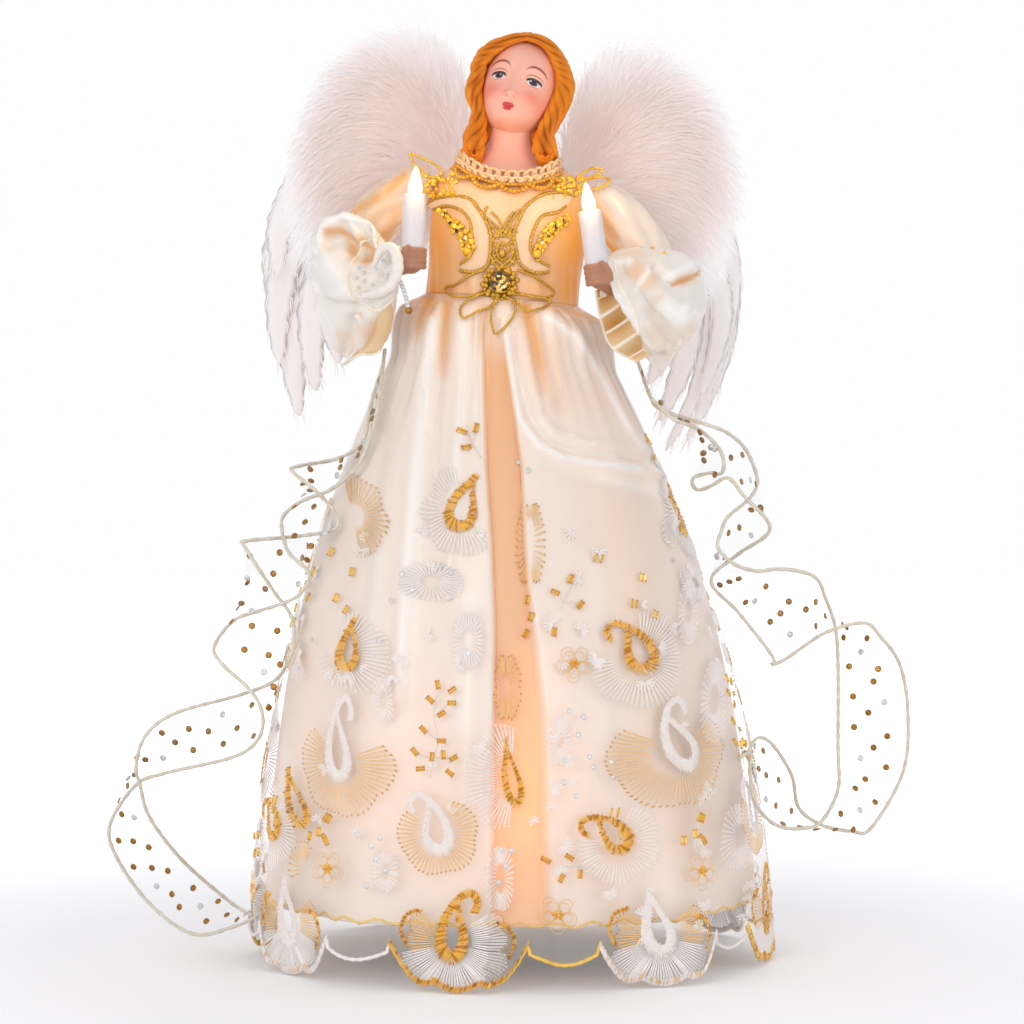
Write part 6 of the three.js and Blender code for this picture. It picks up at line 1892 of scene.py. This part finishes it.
def makeWing(side):
    sign = signs[side]
    rim = curveThrough(wing["outline"], 90, True)
    middle = np.array(wing["middle"])
    half = wing["depth"] / 2 - 0.5
    deep = wing["front"] + wing["depth"] / 2

    def place(spots, depth):  # across and up on the wing, and its depth
        return np.column_stack([sign * spots[:, 0], depth, spots[:, 1]])

    swell = [(0.04, 1), (0.3, 0.98), (0.55, 0.92), (0.75, 0.78), (0.9, 0.52), (0.97, 0.25), (1, 0)]
    points = []
    for share, lift in [(share, -lift) for share, lift in swell] + swell[-2::-1]:
        spots = lerp(middle, rim, share * wing["shrink"])
        ripple = 0.5 * sin(spots[:, 0] * 0.9) * cos(spots[:, 1] * 0.7)
        points.append(place(spots, deep + lift * half + ripple * lift))
    rows, sides = len(points), len(rim)
    faces = gridFaces(rows, sides, True, side == "right")
    faces += [list(range(sides)), list(range((rows - 1) * sides, rows * sides))]
    down = piece(f"wingDown_{side}", (toRow(points), faces), "down", f"wing_{side}", [f"wing_down_{side}"])

    spots = np.column_stack([chance.uniform(12, 75, 60000), chance.uniform(8, 89, 60000)])
    shrunk = [tuple(lerp(middle, np.array(p), 0.94)) for p in rim]
    spots = spots[insideWing(spots[:, 0], spots[:, 1], shrunk)][: wing["barbs"]]
    away = (spots - middle) / np.array([32, 40])
    reach = np.linalg.norm(away, axis=1)
    front = np.where(chance.random(len(spots)) < 0.6, -1, 1)
    depth = deep + front * half * np.sqrt(np.clip(1 - reach**4, 0.02, 1)) * 0.96
    count = len(spots)
    flow, droop = barbFlow(spots, sign, front, 0.14)
    facing = unit(place(away * reach[:, None], front * 1.2) + chance.normal(0, 0.05, (count, 3)))
    barbs = strands(toRow(place(spots, depth)), flow, droop, chance.uniform(6, 13, count),
                    chance.uniform(0.28, 0.6, count), facing=facing)
    # painted light: the barbs grow paler and glow more towards the rim
    pale = np.repeat(np.clip(smooth(reach, 0.5, 1.0) * 0.85 + chance.uniform(0, 0.15, count), 0, 1), 10)
    piece(f"wingBarbs_{side}", barbs, "barb", f"wing_{side}", masks={"pale": pale})

    count = wing["fringe"]
    edge = lerp(middle, rim[chance.integers(0, sides, count)], 0.9)
    roots = place(edge, deep + chance.uniform(-2.4, 2.4, count))
    flow, droop = barbFlow(edge, sign, chance.normal(0, 1, count), 0.3)
    flow = unit(flow * 0.5 + place(unit(edge - middle), np.zeros(count)))
    wisps = strands(toRow(roots), flow, droop, chance.uniform(4, 11, count), chance.uniform(0.14, 0.3, count), 6)
    # painted light: the wisps at the rim are fully pale and glow the most
    piece(f"wingWisps_{side}", wisps, "barb", f"wing_{side}", shade=False,
          masks={"pale": np.ones(len(wisps[0]))})

    vanes, quills = Bag(), Bag()
    steps = 64
    share = np.linspace(0, 1, steps)
    for k, (spots, reach) in enumerate(plumeTips[side]):
        path = curveThrough([(sign * x, 32.6 - 0.4 * k, z) for x, z in spots], steps)
        quills.tube(toRow(path), lerp(0.5, 0.1, share), 6)
        along = unit(np.gradient(path, axis=0))
        aside = unit(np.cross(along, [0, 1, 0]))
        half = reach * np.clip(share / 0.12, 0.2, 1) * np.sqrt(np.clip((1.0 - share) / 0.4, 0.004, 1))
        half = half * (1 + 0.1 * sin(share * 60 + k) * share)
        section = [(-1, 0), (-0.5, -0.28), (0, -0.4), (0.5, -0.28), (1, 0), (0.5, 0.1), (0, 0.1), (-0.5, 0.1)]
        loop = [path + aside * (across * half)[:, None] + [0, rise, 0] for across, rise in section]
        vanes.add(toRow(np.stack(loop, 1)), cappedFaces(steps, len(section)))
        at = np.sort(chance.uniform(0.05, 0.995, 80))
        spine = np.column_stack([np.interp(at, share, path[:, j]) for j in range(3)])
        run = unit(np.column_stack([np.interp(at, share, along[:, j]) for j in range(3)]))
        wide = np.interp(at, share, half)[:, None]
        for turn in (-1, 1):
            out = unit(np.cross(run, [0, turn, 0]))
            flow = unit(out * 0.22 + run + chance.normal(0, 0.04, run.shape) * [1, 0.3, 1])
            droop = unit(out * 0.05 + run + chance.normal(0, 0.06, run.shape) * [1, 0.3, 1])
            roots = spine + out * wide * chance.uniform(0.2, 0.9, (len(at), 1)) - [0, 0.14, 0]
            vanes.add(*strands(toRow(roots), flow, droop, chance.uniform(3, 7.5, len(at)),
                               chance.uniform(0.2, 0.5, len(at)), 5, np.tile([0.0, -1.0, 0.0], (len(at), 1))))
    # painted light: the plumes are half pale and glow more than the barbs inside
    pale = np.full(sum(map(len, vanes.points)), 0.5)
    piece(f"plumeVanes_{side}", vanes, "barb", f"wing_{side}", [f"wing_plumes_{side}"], masks={"pale": pale})
    piece(f"plumeQuills_{side}", quills, "quill", f"wing_{side}")


for side in signs:
    makeWing(side)
print("wings ready")


# Ribbons: two traced edge cords, a sheer film between them and small round spots
ribbon = {"width": 20, "cord": 0.62, "spot": 1.12, "steps": 320}
ribbonEdges = {
    "left": [[(385, 349), (377, 412), (366, 448), (355, 469), (330, 490), (302, 501), (284, 515), (282, 530),
              (289, 553), (309, 573), (302, 592), (286, 602), (259, 611), (233, 621), (214, 647), (223, 665),
              (249, 689), (262, 712), (259, 738), (233, 757), (166, 773), (136, 785), (110, 825), (117, 858),
              (150, 904), (193, 934), (233, 927), (256, 917)],
             [(383, 366), (372, 400), (363, 440), (339, 458), (299, 466), (292, 471), (316, 491), (335, 513),
              (335, 529), (299, 536), (246, 541), (246, 549), (272, 589), (292, 619), (292, 652), (276, 679),
              (243, 694), (176, 713), (146, 735), (136, 765), (140, 785), (150, 818), (183, 861), (229, 901),
              (252, 916)]],
    "right": [[(636, 356), (651, 398), (662, 410), (695, 421), (724, 431), (744, 447), (755, 470), (757, 485),
               (749, 499), (728, 517), (721, 532), (718, 548), (734, 564), (757, 571), (776, 569), (799, 571),
               (817, 579), (825, 597), (835, 626), (838, 665), (838, 746), (838, 789), (822, 821), (806, 828),
               (786, 828), (770, 821), (755, 802), (750, 772), (750, 753), (739, 759)],
              [(651, 398), (672, 418), (698, 429), (718, 447), (724, 463), (721, 474), (711, 473), (695, 477),
               (692, 483), (698, 490), (711, 486), (728, 478), (744, 496), (770, 529), (737, 555), (711, 581),
               (739, 613), (773, 657), (770, 665), (786, 659), (825, 633), (864, 623), (880, 636), (900, 665),
               (908, 714), (903, 772), (871, 828), (851, 831), (822, 825), (799, 808), (793, 779), (783, 759),
               (770, 742), (757, 738), (747, 753)]],
}
ribbonRoutes = {  # height and depth down each streamer
    "left": [(13, 0), (17, 2), (26, 2), (38, 0), (50, -4), (62, -8), (74, -14), (87, -20), (100, -24), (121, -25),
             (155, -24), (167, -18), (180, -8), (194, 0)],
    "right": [(43, -6), (57, 2), (72, 2), (89, 0), (105, -4), (114, -8), (122, -13), (131, -12), (141, -11),
              (151, -13), (161, -15), (171, -12), (181, -6), (191, 0)],
}


def easeAlong(values, reach):
    span = np.arange(-3 * reach, 3 * reach + 1)
    weight = np.exp(-((span / reach) ** 2))
    padded = np.pad(values, 3 * reach, mode="edge")
    return np.convolve(padded, weight / weight.sum(), mode="valid")


def makeRibbon(side):
    count = ribbon["steps"]
    first, second = (curveThrough(line, count) for line in ribbonEdges[side])
    table = np.array(ribbonRoutes[side], float)
    middle = (first + second) / 2
    height = view["height"] + (view["middle"] - middle[:, 1]) / view["pixels"]
    depth = easeAlong(np.interp(height, table[:, 0], table[:, 1]), 6)
    run = unit(np.gradient(middle, axis=0))
    gap = ((first - second) * np.column_stack([-run[:, 1], run[:, 0]])).sum(1) / view["pixels"]
    lean = np.clip(easeAlong(gap, 5) / ribbon["width"], -1, 1)
    swing = easeAlong(np.sign(np.gradient(lean)) * np.sqrt(1 - lean**2), 8) * ribbon["width"] / 2
    edges = []
    for line, way in ((first, 1), (second, -1)):
        spots = seenAt(*line.T, depth + way * swing)
        share = skirtShare(spots[:, 2])
        reach = skirtRadius(share) + 5.0
        x = spots[:, 0] - stance["shift"] * (1 - share)
        near = np.sqrt(np.maximum(0, reach**2 - x**2))
        tight = (np.abs(x) < reach) & (spots[:, 1] > -near)
        y = easeAlong(np.where(tight, -near, spots[:, 1]), 4)
        edges.append(seenAt(*line.T, y))
    bands = [lerp(edges[0], edges[1], k / 8) for k in range(9)]
    film = piece(f"ribbonFilm_{side}", (np.vstack(bands), gridFaces(9, count)), "film", f"streamer_{side}",
                 [f"streamer_{side}"])
    thicken(film, 0.08)
    length = sum(lengthOf(edge) for edge in edges) / 2
    cords = Bag()
    for edge in edges:
        cords.tube(edge, ribbon["cord"] * (1 + 0.12 * sin(np.arange(count) * 1.3)), 7)
    piece(f"ribbonCords_{side}", cords, "ribbonCord", f"streamer_{side}")
    discs, silver = Bag(), Bag()
    total = int(length / 4.2)
    for k in range(total):
        i = int((k + 0.5) / total * (count - 4)) + 2
        across = [0.25, 0.72, 0.48][k % 3] + chance.uniform(-0.08, 0.08)
        spot = lerp(edges[0][i], edges[1][i], across)
        along = edges[0][i + 1] - edges[0][i - 1]
        normal = np.cross(along, edges[1][i] - edges[0][i])
        addDisc(silver if k % 5 == 2 else discs, spot, normal, ribbon["spot"], 0.5)
    piece(f"ribbonSilver_{side}", silver, "silverSequin", f"streamer_{side}")
    piece(f"ribbonSpots_{side}", discs, "bronzeDisc", f"streamer_{side}")


for side in signs:
    makeRibbon(side)
print("ribbons ready")
